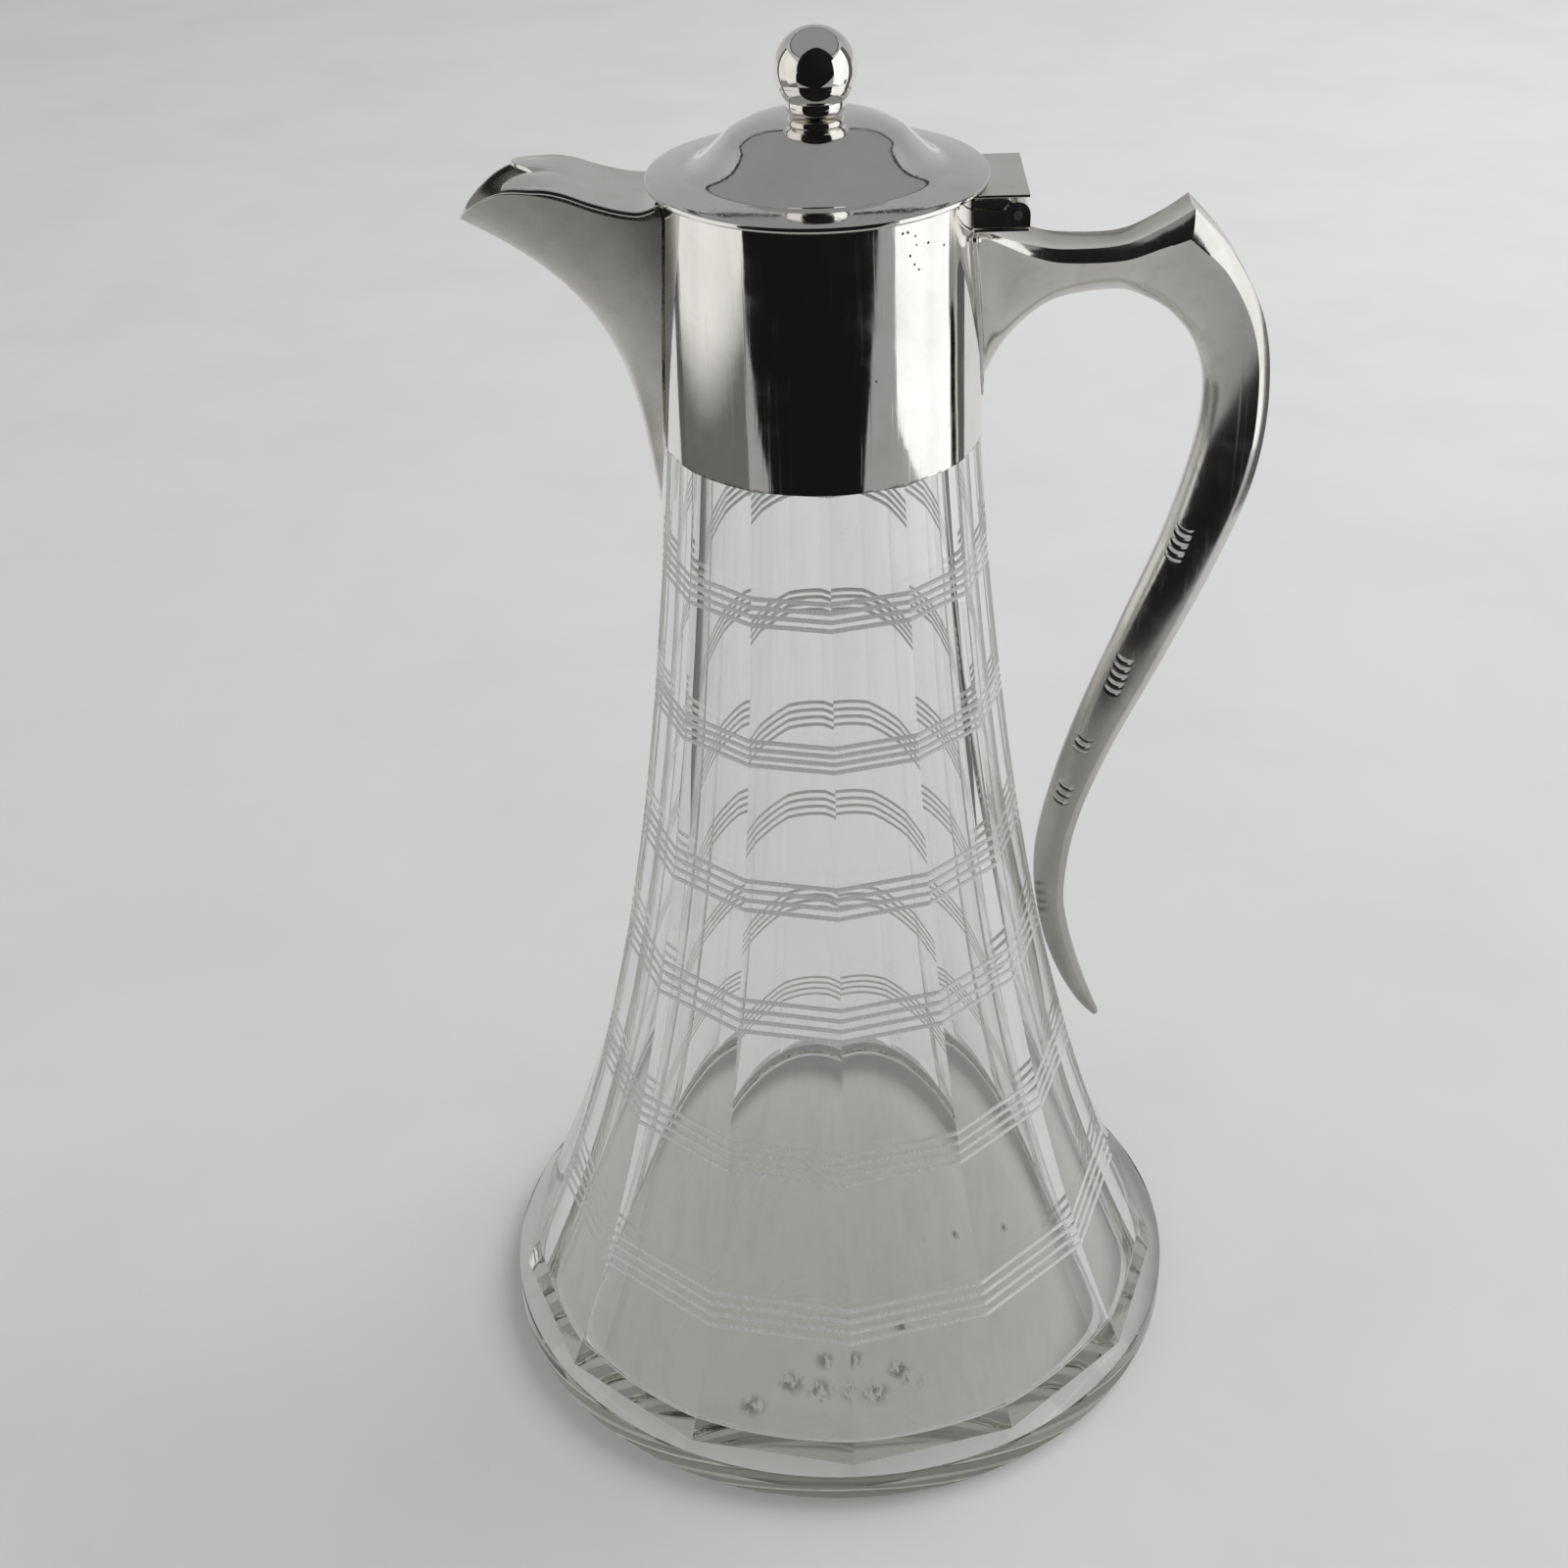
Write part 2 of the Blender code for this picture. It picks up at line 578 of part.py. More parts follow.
def make_bezel():
    """Locating ring under the lid."""
    inner = BEZEL_RADIUS - BEZEL_SHEET
    top = LID_TOP - LID_THICKNESS - GAP
    bottom = top - BEZEL_DEPTH
    outline = [(inner, bottom), (BEZEL_RADIUS, bottom), (BEZEL_RADIUS, top), (inner, top)]
    return finish(lathe(outline), "lid_bezel", silver("silver_bezel"))


def flap_half_width(x):
    """The flap is flush with the spout, and its tab passes through the collar's opening."""
    if x > -FLAP_STEP:
        return FLAP_TAB_HALF_WIDTH
    reach = -SPOUT_TIP.x
    root = sqrt(COLLAR_RADIUS_TOP ** 2 - SPOUT_HALF_WIDTH ** 2)
    return beak_width(SPOUT_HALF_WIDTH, reach + x, reach - root)


def flap_height(x):
    """The flap's top follows the rim of the spout, and its root rises under the lid."""
    root = min(max((FLAP_DIP + x) / (FLAP_DIP - FLAP_ROOT), 0.0), 1.0)
    on_rim = along(RIM, x) + FLAP_THICKNESS + 1.4 * GAP
    return on_rim + (COVER_TOP - on_rim) * root ** 2


def flap_end(side):
    """End of the flap across its width: two round lobes about a notch."""
    return FLAP_NOTCH + (FLAP_END - FLAP_NOTCH) * sin(min(abs(side) * 1.15, 1.0) * pi / 2)


def make_flap():
    """S-curved tongue over the spout, with two lobes at its end."""
    across = [-1.0, -0.85, -0.65, -0.45, -0.25, -0.1, 0.0, 0.1, 0.25, 0.45, 0.65, 0.85, 1.0]
    notch_side = FLAP_STEP + 0.0001
    lengths = [-FLAP_ROOT, -FLAP_STEP + 0.0001, -notch_side]
    lengths += [-(notch_side + 0.0018 * (i + 1)) for i in range(10)]
    rings = []
    for x in lengths:
        half = flap_half_width(x)
        top = [(x, side * half, flap_height(x)) for side in across]
        rings.append(top + [(px, py, pz - FLAP_THICKNESS) for px, py, pz in reversed(top)])
    for share in (0.25, 0.5, 0.75, 1.0):
        top = []
        for side in across:
            x = lengths[-1] + (-flap_end(side) - lengths[-1]) * share
            top.append((x, side * flap_half_width(x), flap_height(x)))
        rings.append(top + [(px, py, pz - FLAP_THICKNESS) for px, py, pz in reversed(top)])
    return finish(loft(rings), "spout_flap", silver("silver_flap"))


# ---------------------------------------------------------------- finial

def make_neck():
    """Short ring between the dome and the ball."""
    bottom = LID_TOP + DOME_HEIGHT + 0.00025
    outline = [(STUD_HOLE, bottom), (0.0048, bottom), (0.0050, bottom + 0.0003), (0.0046, bottom + 0.0007),
               (0.0049, bottom + 0.0011), (0.0047, bottom + 0.0014), (STUD_HOLE, bottom + 0.0014)]
    return finish(lathe(outline, 32), "finial_neck", silver("silver_neck", 0.10))


def make_ball():
    """Ball knob with a flat seat and a blind hole for the stud."""
    seat = LID_TOP + DOME_HEIGHT + 0.00195
    hole = STUD_RADIUS + GAP
    hole_top = stud_top() + GAP
    first = asin((seat - BALL_CENTRE) / BALL_RADIUS)
    steps = 12
    outline = [(0.0, hole_top), (hole, hole_top), (hole, seat)]
    for i in range(steps):
        angle = first + (pi / 2 - first) * i / steps
        outline.append((BALL_RADIUS * cos(angle), BALL_CENTRE + BALL_RADIUS * sin(angle)))
    outline.append((0.0, BALL_CENTRE + BALL_RADIUS))
    return finish(lathe(outline, 32, closed=False), "finial_ball", silver("silver_ball", 0.08))


def dome_underside():
    """Height of the middle of the dome's underside."""
    return LID_TOP + DOME_HEIGHT - LID_THICKNESS


def stud_top():
    """The stud ends a little below the centre of the ball."""
    return BALL_CENTRE - 1.5 * STUD_RADIUS


def nut_top():
    """The nut sits under the washer."""
    return dome_underside() - WASHER_THICKNESS - 2 * GAP


def make_stud():
    """Stud that passes from the ball through the ring, the dome, the washer and the nut."""
    low = nut_top() - NUT_HEIGHT - STUD_RADIUS
    high = stud_top()
    outline = [(0.0, low), (STUD_RADIUS, low), (STUD_RADIUS, high), (0.0, high)]
    brass = principled("stud_brass", (0.72, 0.58, 0.32), 0.35, 1.0)
    return finish(lathe(outline, 20, closed=False), "finial_stud", brass)


def make_washer():
    """Washer under the dome."""
    outer = 2.5 * STUD_HOLE
    high = dome_underside() - GAP
    low = high - WASHER_THICKNESS
    outline = [(STUD_HOLE, low), (outer, low), (outer, high), (STUD_HOLE, high)]
    return finish(lathe(outline, 32), "finial_washer", principled("washer_brass", (0.74, 0.60, 0.34), 0.3, 1.0))


def make_nut():
    """Hexagonal nut on the stud."""
    corner = 0.0031
    high = nut_top()
    low = high - NUT_HEIGHT
    ring = [(corner * cos(pi * i / 3), corner * sin(pi * i / 3)) for i in range(6)]
    bm = loft([[(x, y, z) for x, y in ring] for z in (low, high)])
    nut = finish(bm, "finial_nut", principled("nut_brass", (0.70, 0.56, 0.30), 0.35, 1.0))
    bore = [(0.0, low - CLEAR), (STUD_HOLE, low - CLEAR), (STUD_HOLE, high + CLEAR), (0.0, high + CLEAR)]
    boolean(nut, cutter(lathe(bore, 20, closed=False), "nut_bore"))
    return nut


# ---------------------------------------------------------------- assembly

def hang_on_pin(pieces):
    """Parent the lid's pieces to an empty on the hinge axis."""
    pivot = bpy.data.objects.new("lid_pivot", None)
    pivot.location = PIN
    pivot.empty_display_size = 0.01
    bpy.context.scene.collection.objects.link(pivot)
    bpy.context.view_layer.update()
    for piece in pieces:
        piece.parent = pivot
        piece.matrix_parent_inverse = pivot.matrix_world.inverted()


def main():
    clear_scene()
    make_glass()
    make_bedding()
    make_collar()
    make_spout()
    make_handle()
    make_base_plate()
    make_collar_leaf()
    make_pin()
    lid = [make_lid_plate(), make_bezel(), make_flap(), make_lid_leaf(), make_cover_plate(), make_neck()]
    lid += [make_ball(), make_stud(), make_washer(), make_nut()]
    hang_on_pin(lid)


main()
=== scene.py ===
"""Looks of the silver-mounted cut-glass claret jug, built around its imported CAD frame.

The fine surfaces of the glass, the silver mounts and the lid are rebuilt here with smooth meshes. Every
piece rides the body of the CAD node that it stands for. Lengths are in metres, in the frame of the CAD:
origin at the centre of the foot, +Z up, the spout at -X, the handle and the hinge at +X.
"""
from math import acos, asin, cos, exp, pi, radians, sin, sqrt

import bmesh
import bpy
from mathutils import Matrix, Vector, noise


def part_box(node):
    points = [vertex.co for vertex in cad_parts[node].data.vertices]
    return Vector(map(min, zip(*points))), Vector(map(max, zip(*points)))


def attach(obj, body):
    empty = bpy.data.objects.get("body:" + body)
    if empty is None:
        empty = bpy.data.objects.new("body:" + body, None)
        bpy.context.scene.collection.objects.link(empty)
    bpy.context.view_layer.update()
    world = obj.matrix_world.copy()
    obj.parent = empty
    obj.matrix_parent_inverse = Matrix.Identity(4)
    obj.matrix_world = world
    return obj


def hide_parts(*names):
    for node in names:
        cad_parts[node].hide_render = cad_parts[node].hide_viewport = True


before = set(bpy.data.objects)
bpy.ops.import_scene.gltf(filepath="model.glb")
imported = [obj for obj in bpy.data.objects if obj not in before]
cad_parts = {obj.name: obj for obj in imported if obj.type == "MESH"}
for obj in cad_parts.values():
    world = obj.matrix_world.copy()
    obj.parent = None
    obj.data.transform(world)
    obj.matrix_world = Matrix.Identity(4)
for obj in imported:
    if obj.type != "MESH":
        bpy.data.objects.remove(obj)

scene = bpy.context.scene
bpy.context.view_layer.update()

# ---- sizes read from the frame

GLASS_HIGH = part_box("glass_body")[1]
COLLAR_LOW, COLLAR_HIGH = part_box("collar")
FLAP_LOW, FLAP_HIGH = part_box("spout_flap")
LID_LOW, LID_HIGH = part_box("lid_plate")
BEZEL_LOW, BEZEL_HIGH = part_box("lid_bezel")
NECK_LOW, NECK_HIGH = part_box("finial_neck")
BALL_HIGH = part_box("finial_ball")[1]
COVER_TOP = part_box("hinge_cover_plate")[1].z

# Clearance between neighbouring pieces
GAP = 0.0003

# Glass
PANELS = 13
RIDGE_ANGLE = radians(-88.2)
FOOT_RADIUS = GLASS_HIGH.y
FOOT_BEVEL = 0.0006
FOOT_HEIGHT = 0.0064
PANEL_BOTTOM = 0.0076
PANEL_TOP = COLLAR_LOW.z - GAP
FLARE_NECK = 0.0200
FLARE_REACH = 0.0517
FLARE_HEIGHT = 0.1025
WALL = 0.0040
FLOOR_HEIGHT = 0.0070
FILLET = 0.0018
NECK_RADIUS = 0.0248
NECK_BORE = 0.0225
MOUTH_HEIGHT = GLASS_HIGH.z
GLASS_COLUMNS = 12  # columns of faces across one panel
# Height of the lowest and the highest line of each band of cut lines
CUT_BANDS = (
    (0.0306, 0.0369), (0.0621, 0.0680), (0.0911, 0.0974),
    (0.1158, 0.1216), (0.1446, 0.1492), (0.1713, 0.1762),
)
CUTS_PER_BAND = 4
CUT_HALF_WIDTH = 0.00046
CUT_DEPTH = 0.00022
# Rows of one cut: share of its half width, share of its depth and whether the face above is ground
CUT_PROFILE = ((-1.0, 0.0, True), (-0.2, 0.9, True), (0.0, 1.0, True), (0.2, 0.9, True), (1.0, 0.0, False))
PLAIN_STEP = 0.0042  # tallest face between the cut lines
GLASS_DENSITY = 6.2
GLASS_SOAK = (0.505, 0.51, 0.42)  # what long paths through the glass leave of white
GLASS_IOR = 1.53

# Collar
COLLAR_BOTTOM = COLLAR_LOW.z
COLLAR_TOP = COLLAR_HIGH.z
COLLAR_RADIUS_BOTTOM = COLLAR_HIGH.y
COLLAR_RADIUS_TOP = 0.0273
SHEET = 0.0009
OPENING_BOTTOM = 0.2073
OPENING_SHOULDER = 0.2360
OPENING_HALF_WIDTH = 0.0090

# Spout
SPOUT_BOTTOM = 0.1813
SPOUT_TIP = Vector((-0.0598, 0.0, 0.2355))
SPOUT_ROOT_HEIGHT = 0.2378
SPOUT_HALF_WIDTH = 0.0110
BEAK_LENGTH = 0.0059
BEAK_POWER = 0.55
KEEL_START = 0.0290
KEEL_LEAN = 0.13
KEEL_SWEEP = 0.02375
KEEL_POWER = 4.2
SEAM_POWER = 0.62
RIM_REACH = 8
RIM = (
    (-0.0250, 0.2378), (-0.0300, 0.2377), (-0.0357, 0.2389), (-0.0425, 0.2411), (-0.0475, 0.2418),
    (-0.0517, 0.2416), (-0.0545, 0.2404), (-0.0570, 0.2386), (-0.0587, 0.2370), (-0.0598, 0.2355),
)
SPOUT_POINTS = 44  # points from the near seam to the keel

# Flap
FLAP_SHEET = 0.0010
FLAP_ROOT = -FLAP_HIGH.x
FLAP_DIP = 0.0300
FLAP_STEP = 0.0264
FLAP_END = -FLAP_LOW.x
FLAP_NOTCH = 0.0470
FLAP_TAB_HALF_WIDTH = 0.0086
FLAP_STRAIGHT = 0.0444  # where the two lobes begin
FLAP_CURL = 0.0400  # where the crease and the droop begin
CREASE_DEPTH = 0.0005
CREASE_WIDTH = 0.0012
DROOP_DEPTH = 0.0004
DROOP_HALF_WIDTH = 0.0080

# Lid
LID_RADIUS = LID_HIGH.y
LID_THICKNESS = 0.0010
LID_TOP = LID_LOW.z + LID_THICKNESS
DOME_HEIGHT = LID_HIGH.z - LID_TOP
DOME_RADIUS = 0.0224
DOME_POWER = 2.0
FALL_HEIGHT = 0.0010
FALL_WIDTH = 0.0085
STUD_HOLE = 0.0016
BALL_RADIUS = BALL_HIGH.y
BALL_CENTRE = BALL_HIGH.z - BALL_RADIUS
KNOB_SEAT = NECK_LOW.z + 0.0031

# Handle stations: inner x, inner z, outer x, outer z, half width, half width of the spine,
# depth of the chamfer beside the spine, fullness of the round towards the inner edge.
HANDLE_TOP = (
    (0.0240, 0.1975, 0.0240, 0.2340, 0.0110, 0.0104, 0.0006, 0.9),
    (0.0278, 0.2044, 0.0278, 0.2332, 0.0089, 0.0081, 0.0008, 0.9),
    (0.0310, 0.2106, 0.0310, 0.2316, 0.0072, 0.0063, 0.0010, 0.9),
    (0.0355, 0.2157, 0.0355, 0.2299, 0.0061, 0.0050, 0.0016, 0.9),
    (0.0410, 0.2190, 0.0410, 0.2289, 0.0057, 0.0045, 0.0020, 0.9),
    (0.0506, 0.2202, 0.0506, 0.2292, 0.0056, 0.0040, 0.0022, 0.9),
    (0.0562, 0.2183, 0.0572, 0.2320, 0.0058, 0.0039, 0.0030, 0.9),
    (0.0595, 0.2163, 0.0623, 0.2352, 0.0062, 0.0042, 0.0045, 0.9),
)
HANDLE_SWEEP = (
    HANDLE_TOP[-1],
    (0.0634, 0.2118, 0.0696, 0.2268, 0.0061, 0.0036, 0.0030, 0.9),
    (0.0658, 0.2056, 0.0756, 0.2148, 0.0059, 0.0032, 0.0026, 1.0),
    (0.0661, 0.1975, 0.0774, 0.2005, 0.0056, 0.0030, 0.0024, 1.2),
    (0.0644, 0.1875, 0.0758, 0.1850, 0.0053, 0.0029, 0.0022, 1.5),
    (0.0603, 0.1730, 0.0702, 0.1682, 0.0049, 0.0027, 0.0021, 1.8),
    (0.0539, 0.1558, 0.0619, 0.1486, 0.0044, 0.0024, 0.0020, 1.9),
    (0.0460, 0.1336, 0.0528, 0.1280, 0.0039, 0.0021, 0.0018, 1.9),
    (0.0410, 0.1136, 0.0476, 0.1119, 0.0034, 0.0019, 0.0017, 1.9),
    (0.03995, 0.1005, 0.0459, 0.0975, 0.0031, 0.0017, 0.0016, 2.0),
    (0.0419, 0.0872, 0.0470, 0.0879, 0.0029, 0.0016, 0.0014, 2.0),
    (0.0453, 0.0768, 0.0494, 0.0786, 0.0025, 0.0013, 0.0011, 2.0),
    (0.0495, 0.0688, 0.0522, 0.0704, 0.0018, 0.0009, 0.0008, 2.0),
    (0.0533, 0.0643, 0.0542, 0.0654, 0.0007, 0.0003, 0.0003, 2.0),
)
HANDLE_START = 0.62  # place of the root, counted in stations
ROUND_POWER = 0.60
THUMB_DISH = 0.0004

# Bright cuts on the handle: x, z and number of cuts of each group
CRESCENT_GROUPS = ((0.0635, 0.1730, 4), (0.0540, 0.1460, 5), (0.0480, 0.1310, 2), (0.0448, 0.1200, 3))
CRESCENT_PITCH = 0.0017
CRESCENT_HALF_WIDTH = 0.0017
CRESCENT_BOW = 230.0

# Dark pits in the collar: degrees round the axis and height
COLLAR_PITS = (
    (-60.8, 0.2389), (-58.9, 0.2389), (-55.8, 0.2381), (-55.4, 0.2366), (-50.3, 0.2364),
    (-58.1, 0.2351), (-56.2, 0.2335), (-54.5, 0.2325), (-42.8, 0.2351), (-71.3, 0.2152),
)
PIT_RADIUS = 0.00028

# Smudged patches on the inside floor: x, y and radius
SMUDGES = (
    (-0.0095, -0.0450, 0.0045), (-0.0030, -0.0470, 0.0045), (0.0050, -0.0480, 0.0045),
    (-0.0010, -0.0390, 0.0035), (0.0105, -0.0420, 0.0040), (0.0135, -0.0450, 0.0035),
    (0.0115, -0.0295, 0.0030), (-0.0180, -0.0510, 0.0040), (0.0190, -0.0035, 0.0020),
    (0.0325, -0.0015, 0.0020),
)

TARNISH = (0.66, 0.62, 0.55)


# ---- mesh helpers

def finish(bm, name, materials, sharp=40.0):
    """Turn a bmesh into a smoothly shaded object with its materials."""
    bmesh.ops.recalc_face_normals(bm, faces=bm.faces)
    mesh = bpy.data.meshes.new(name)
    bm.to_mesh(mesh)
    bm.free()
    for material in materials:
        mesh.materials.append(material)
    mesh.shade_smooth()
    mesh.set_sharp_from_angle(angle=radians(sharp))
    obj = bpy.data.objects.new(name, mesh)
    scene.collection.objects.link(obj)
    return obj


def place(obj, body, slot, *nodes):
    """Let a piece ride a body and stand for CAD nodes; the slot is not used."""
    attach(obj, body)
    if nodes:
        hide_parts(*nodes)


def skin(bm, low, high, closed=False, material=0):
    """Quads between two rows of vertices."""
    last = len(low) if closed else len(low) - 1
    for i in range(last):
        j = (i + 1) % len(low)
        face = bm.faces.new((low[i], low[j], high[j], high[i]))
        face.material_index = material


def skins(bm, rows, closed=False):
    """Quads between each row of vertices and the next."""
    for low, high in zip(rows, rows[1:]):
        skin(bm, low, high, closed)


def tube(bm, rings):
    """Quads between closed rings of vertices, and a face at each end."""
    skins(bm, rings, closed=True)
    bm.faces.new(rings[0][::-1])
    bm.faces.new(rings[-1])


def verts(bm, points):
    """Vertices at a row of points."""
    return [bm.verts.new(point) for point in points]


def mirrored(points):
    """Points across the jug's mirror plane, in reverse order."""
    return [Vector((x, -y, z)) for x, y, z in reversed(points)]


def unit(value):
    """A value held between 0 and 1."""
    return min(max(value, 0.0), 1.0)


def spread(start, stop, steps):
    """Evenly spaced values from start to stop."""
    return [start + (stop - start) * i / steps for i in range(steps + 1)]


def bend(start, corner, stop, t):
    """A point of the curve that leaves start towards corner and ends at stop."""
    return tuple(start * (1 - t) ** 2 + corner * 2 * t * (1 - t) + stop * t * t)


def fillet(outline, radius, steps=3):
    """Round every corner of a closed outline of (radius, height) points."""
    rounded = []
    count = len(outline)
    for i in range(count):
        corner = Vector(outline[i])
        before = Vector(outline[i - 1]) - corner
        after = Vector(outline[(i + 1) % count]) - corner
        reach = min(radius, before.length * 0.45, after.length * 0.45)
        start = corner + before.normalized() * reach
        stop = corner + after.normalized() * reach
        rounded += [bend(start, corner, stop, step / steps) for step in range(steps + 1)]
    return rounded


def circle(radius, z, count, start=0.0):
    """Points round the Z axis at one height."""
    angles = [start + 2 * pi * i / count for i in range(count)]
    return [(radius * cos(a), radius * sin(a), z) for a in angles]


def lathe(outline, steps=240):
    """Spin a closed outline of (radius, height) points about the Z axis."""
    bm = bmesh.new()
    rings = []
    for radius, height in outline:
        ring = circle(radius, height, steps)
        rings.append(verts(bm, ring if radius else ring[:1]))
    for low, high in zip(rings, rings[1:] + rings[:1]):
        if len(low) == len(high) == 1:
            continue
        for i in range(steps):
            j = (i + 1) % steps
            corners = [low[0]] if len(low) == 1 else [low[i], low[j]]
            corners += [high[0]] if len(high) == 1 else [high[j], high[i]]
            bm.faces.new(corners)
    return bm


def catmull(a, b, c, d, t):
    """One value of a Catmull-Rom curve between b and c."""
    square = (2 * a - 5 * b + 4 * c - d) * t * t
    cube = (3 * b - a - 3 * c + d) * t ** 3
    return 0.5 * (2 * b + (c - a) * t + square + cube)


def station(stations, at):
    """Smooth row of values at a place counted in stations from the first."""
    last = len(stations) - 1
    i = min(int(at), last - 1)
    rows = [stations[max(i - 1, 0)], stations[i], stations[i + 1], stations[min(i + 2, last)]]
    return [catmull(*values, at - i) for values in zip(*rows)]


def along(points, x):
    """Height of a smooth curve through (x, height) points whose x values fall."""
    if x >= points[0][0]:
        return points[0][1]
    for i in range(len(points) - 1):
        if x >= points[i + 1][0]:
            t = (points[i][0] - x) / (points[i][0] - points[i + 1][0])
            before = points[max(i - 1, 0)][1]
            after = points[min(i + 2, len(points) - 1)][1]
            return catmull(before, points[i][1], points[i + 1][1], after, t)
    return points[-1][1]


# ---- material helpers

class Nodes:
    """Short forms for building one material's node tree."""

    def __init__(self, name):
        self.material = bpy.data.materials.new(name)
        self.material.use_nodes = True
        self.tree = self.material.node_tree
        self.shader = self.tree.nodes["Principled BSDF"]
        self.output = self.tree.nodes["Material Output"]
        self.place = self.add("ShaderNodeTexCoord").outputs["Object"]

    def add(self, kind, **values):
        """A node, with its properties and its inputs set by name."""
        node = self.tree.nodes.new(kind)
        for key, value in values.items():
            if hasattr(node, key):
                setattr(node, key, value)
            else:
                self.feed(node.inputs[key.replace("_", " ")], value)
        return node

    def feed(self, socket, value):
        """Link or set one input."""
        if isinstance(value, bpy.types.NodeSocket):
            self.tree.links.new(value, socket)
        else:
            socket.default_value = value

    def maths(self, operation, a, b=0.0, clamp=False):
        """The result of one Math node."""
        node = self.add("ShaderNodeMath", operation=operation, use_clamp=clamp)
        self.feed(node.inputs[0], a)
        self.feed(node.inputs[1], b)
        return node.outputs[0]

    def times(self, a, b):
        return self.maths("MULTIPLY", a, b)

    def plus(self, a, b, clamp=False):
        return self.maths("ADD", a, b, clamp)

    def minus(self, a, b, clamp=False):
        return self.maths("SUBTRACT", a, b, clamp)

    def power(self, a, b):
        return self.maths("POWER", a, b)

    def most(self, a, b):
        return self.maths("MAXIMUM", a, b)

    def size(self, a):
        return self.maths("ABSOLUTE", a)

    def distance(self, a, b):
        """Length of two steps at right angles."""
        return self.maths("SQRT", self.plus(self.power(a, 2.0), self.power(b, 2.0)))

    def split(self, where):
        """The x, y and z of a place or a direction."""
        return self.add("ShaderNodeSeparateXYZ", Vector=where).outputs

    def ramp(self, value, low, high, to_low=0.0, to_high=1.0):
        """Map a value from one range to another, smoothly and clamped."""
        node = self.add("ShaderNodeMapRange", interpolation_type="SMOOTHSTEP")
        for socket, number in zip(node.inputs, (value, low, high, to_low, to_high)):
            self.feed(socket, number)
        return node.outputs[0]

    def noise(self, scale, detail, roughness, stretch=(1, 1, 1), turn=(0, 0, 0), shift=(0, 0, 0)):
        """Noise in object space, turned, stretched and moved."""
        moved = self.add("ShaderNodeMapping", Vector=self.place, Location=shift, Rotation=turn,
                         Scale=stretch)
        return self.add("ShaderNodeTexNoise", Scale=scale, Detail=detail, Roughness=roughness,
                        Vector=moved.outputs[0]).outputs["Fac"]

    def blend(self, factor, a, b, kind="RGBA", mode="MIX"):
        """Mix two colours, or two values of another kind."""
        node = self.add("ShaderNodeMix", data_type=kind)
        first = 6 if kind == "RGBA" else 2
        if kind == "RGBA":
            node.blend_type = mode
        self.feed(node.inputs[0], factor)
        self.feed(node.inputs[first], a)
        self.feed(node.inputs[first + 1], b)
        return node.outputs[2 if kind == "RGBA" else 0]

    def mix(self, factor, a, b):
        """Mix two plain numbers."""
        return self.blend(factor, a, b, kind="FLOAT")

    def bump(self, height, distance, strength=1.0, normal=None):
        """A normal that follows a height."""
        node = self.add("ShaderNodeBump", Strength=strength, Distance=distance, Height=height)
        if normal is not None:
            self.feed(node.inputs["Normal"], normal)
        return node.outputs[0]

    def set(self, **values):
        """Set or link inputs of the Principled shader."""
        for key, value in values.items():
            self.feed(self.shader.inputs[key.replace("_", " ")], value)

    def give_way(self, factor, other):
        """Show another shader in place of the Principled one, by a factor."""
        node = self.add("ShaderNodeMixShader")
        for socket, value in zip(node.inputs, (factor, self.shader.outputs[0], other.outputs[0])):
            self.feed(socket, value)
        self.feed(self.output.inputs["Surface"], node.outputs[0])


def rgb(*values):
    """A colour with full alpha."""
    return (*values, 1.0)


# ---- silver

def spots(n, places, radius):
    """Dark specks at known places, given as (degrees round the axis, height)."""
    x, y, z = n.split(n.place)
    angle = n.maths("ARCTAN2", y, x)
    uneven = n.ramp(n.noise(1800, 2, 0.5), 0.3, 0.7, 0.8, 1.6)
    mask = 0.0
    for degrees, height in places:
        round_way = n.times(n.minus(angle, radians(degrees)), COLLAR_RADIUS_TOP)
        away = n.times(n.distance(round_way, n.minus(z, height)), uneven)
        mask = n.most(n.ramp(away, radius, radius * 0.5), mask)
    return mask


def crescents(n):
    """Groups of small curved bright cuts down the sides of the handle."""
    x, _, z = n.split(n.place)
    lean = radians(17.5)
    up = n.plus(n.times(z, cos(lean)), n.times(x, sin(lean)))
    across = n.minus(n.times(x, cos(lean)), n.times(z, sin(lean)))
    mask = 0.0
    for cut_x, cut_z, count in CRESCENT_GROUPS:
        at = cut_z * cos(lean) + cut_x * sin(lean)
        aside = n.minus(across, cut_x * cos(lean) - cut_z * sin(lean))
        bowed = n.times(n.power(n.size(aside), 2.0), CRESCENT_BOW)
        rise = n.minus(n.minus(up, at), bowed)
        line = n.power(n.size(n.maths("COSINE", n.times(rise, pi / CRESCENT_PITCH))), 3.0)
        reach = count * CRESCENT_PITCH / 2
        within = n.ramp(n.size(rise), reach, reach - 0.0003)
        wide = n.ramp(n.size(aside), CRESCENT_HALF_WIDTH, CRESCENT_HALF_WIDTH * 0.3)
        mask = n.most(n.times(line, n.times(within, wide)), mask)
    return mask


def scratches(n, shift):
    """Hairlines in three directions."""
    hairs = 0.0
    for turn, stretch in (((0.3, 0.9, 0.4), 0.02), ((1.2, 0.2, 0.8), 0.016), ((0.7, 2.2, 1.9), 0.024)):
        lines = n.noise(1500, 2, 0.5, (1, 1, stretch), turn, shift)
        hairs = n.plus(n.ramp(lines, 0.62, 0.72), hairs)
    return hairs


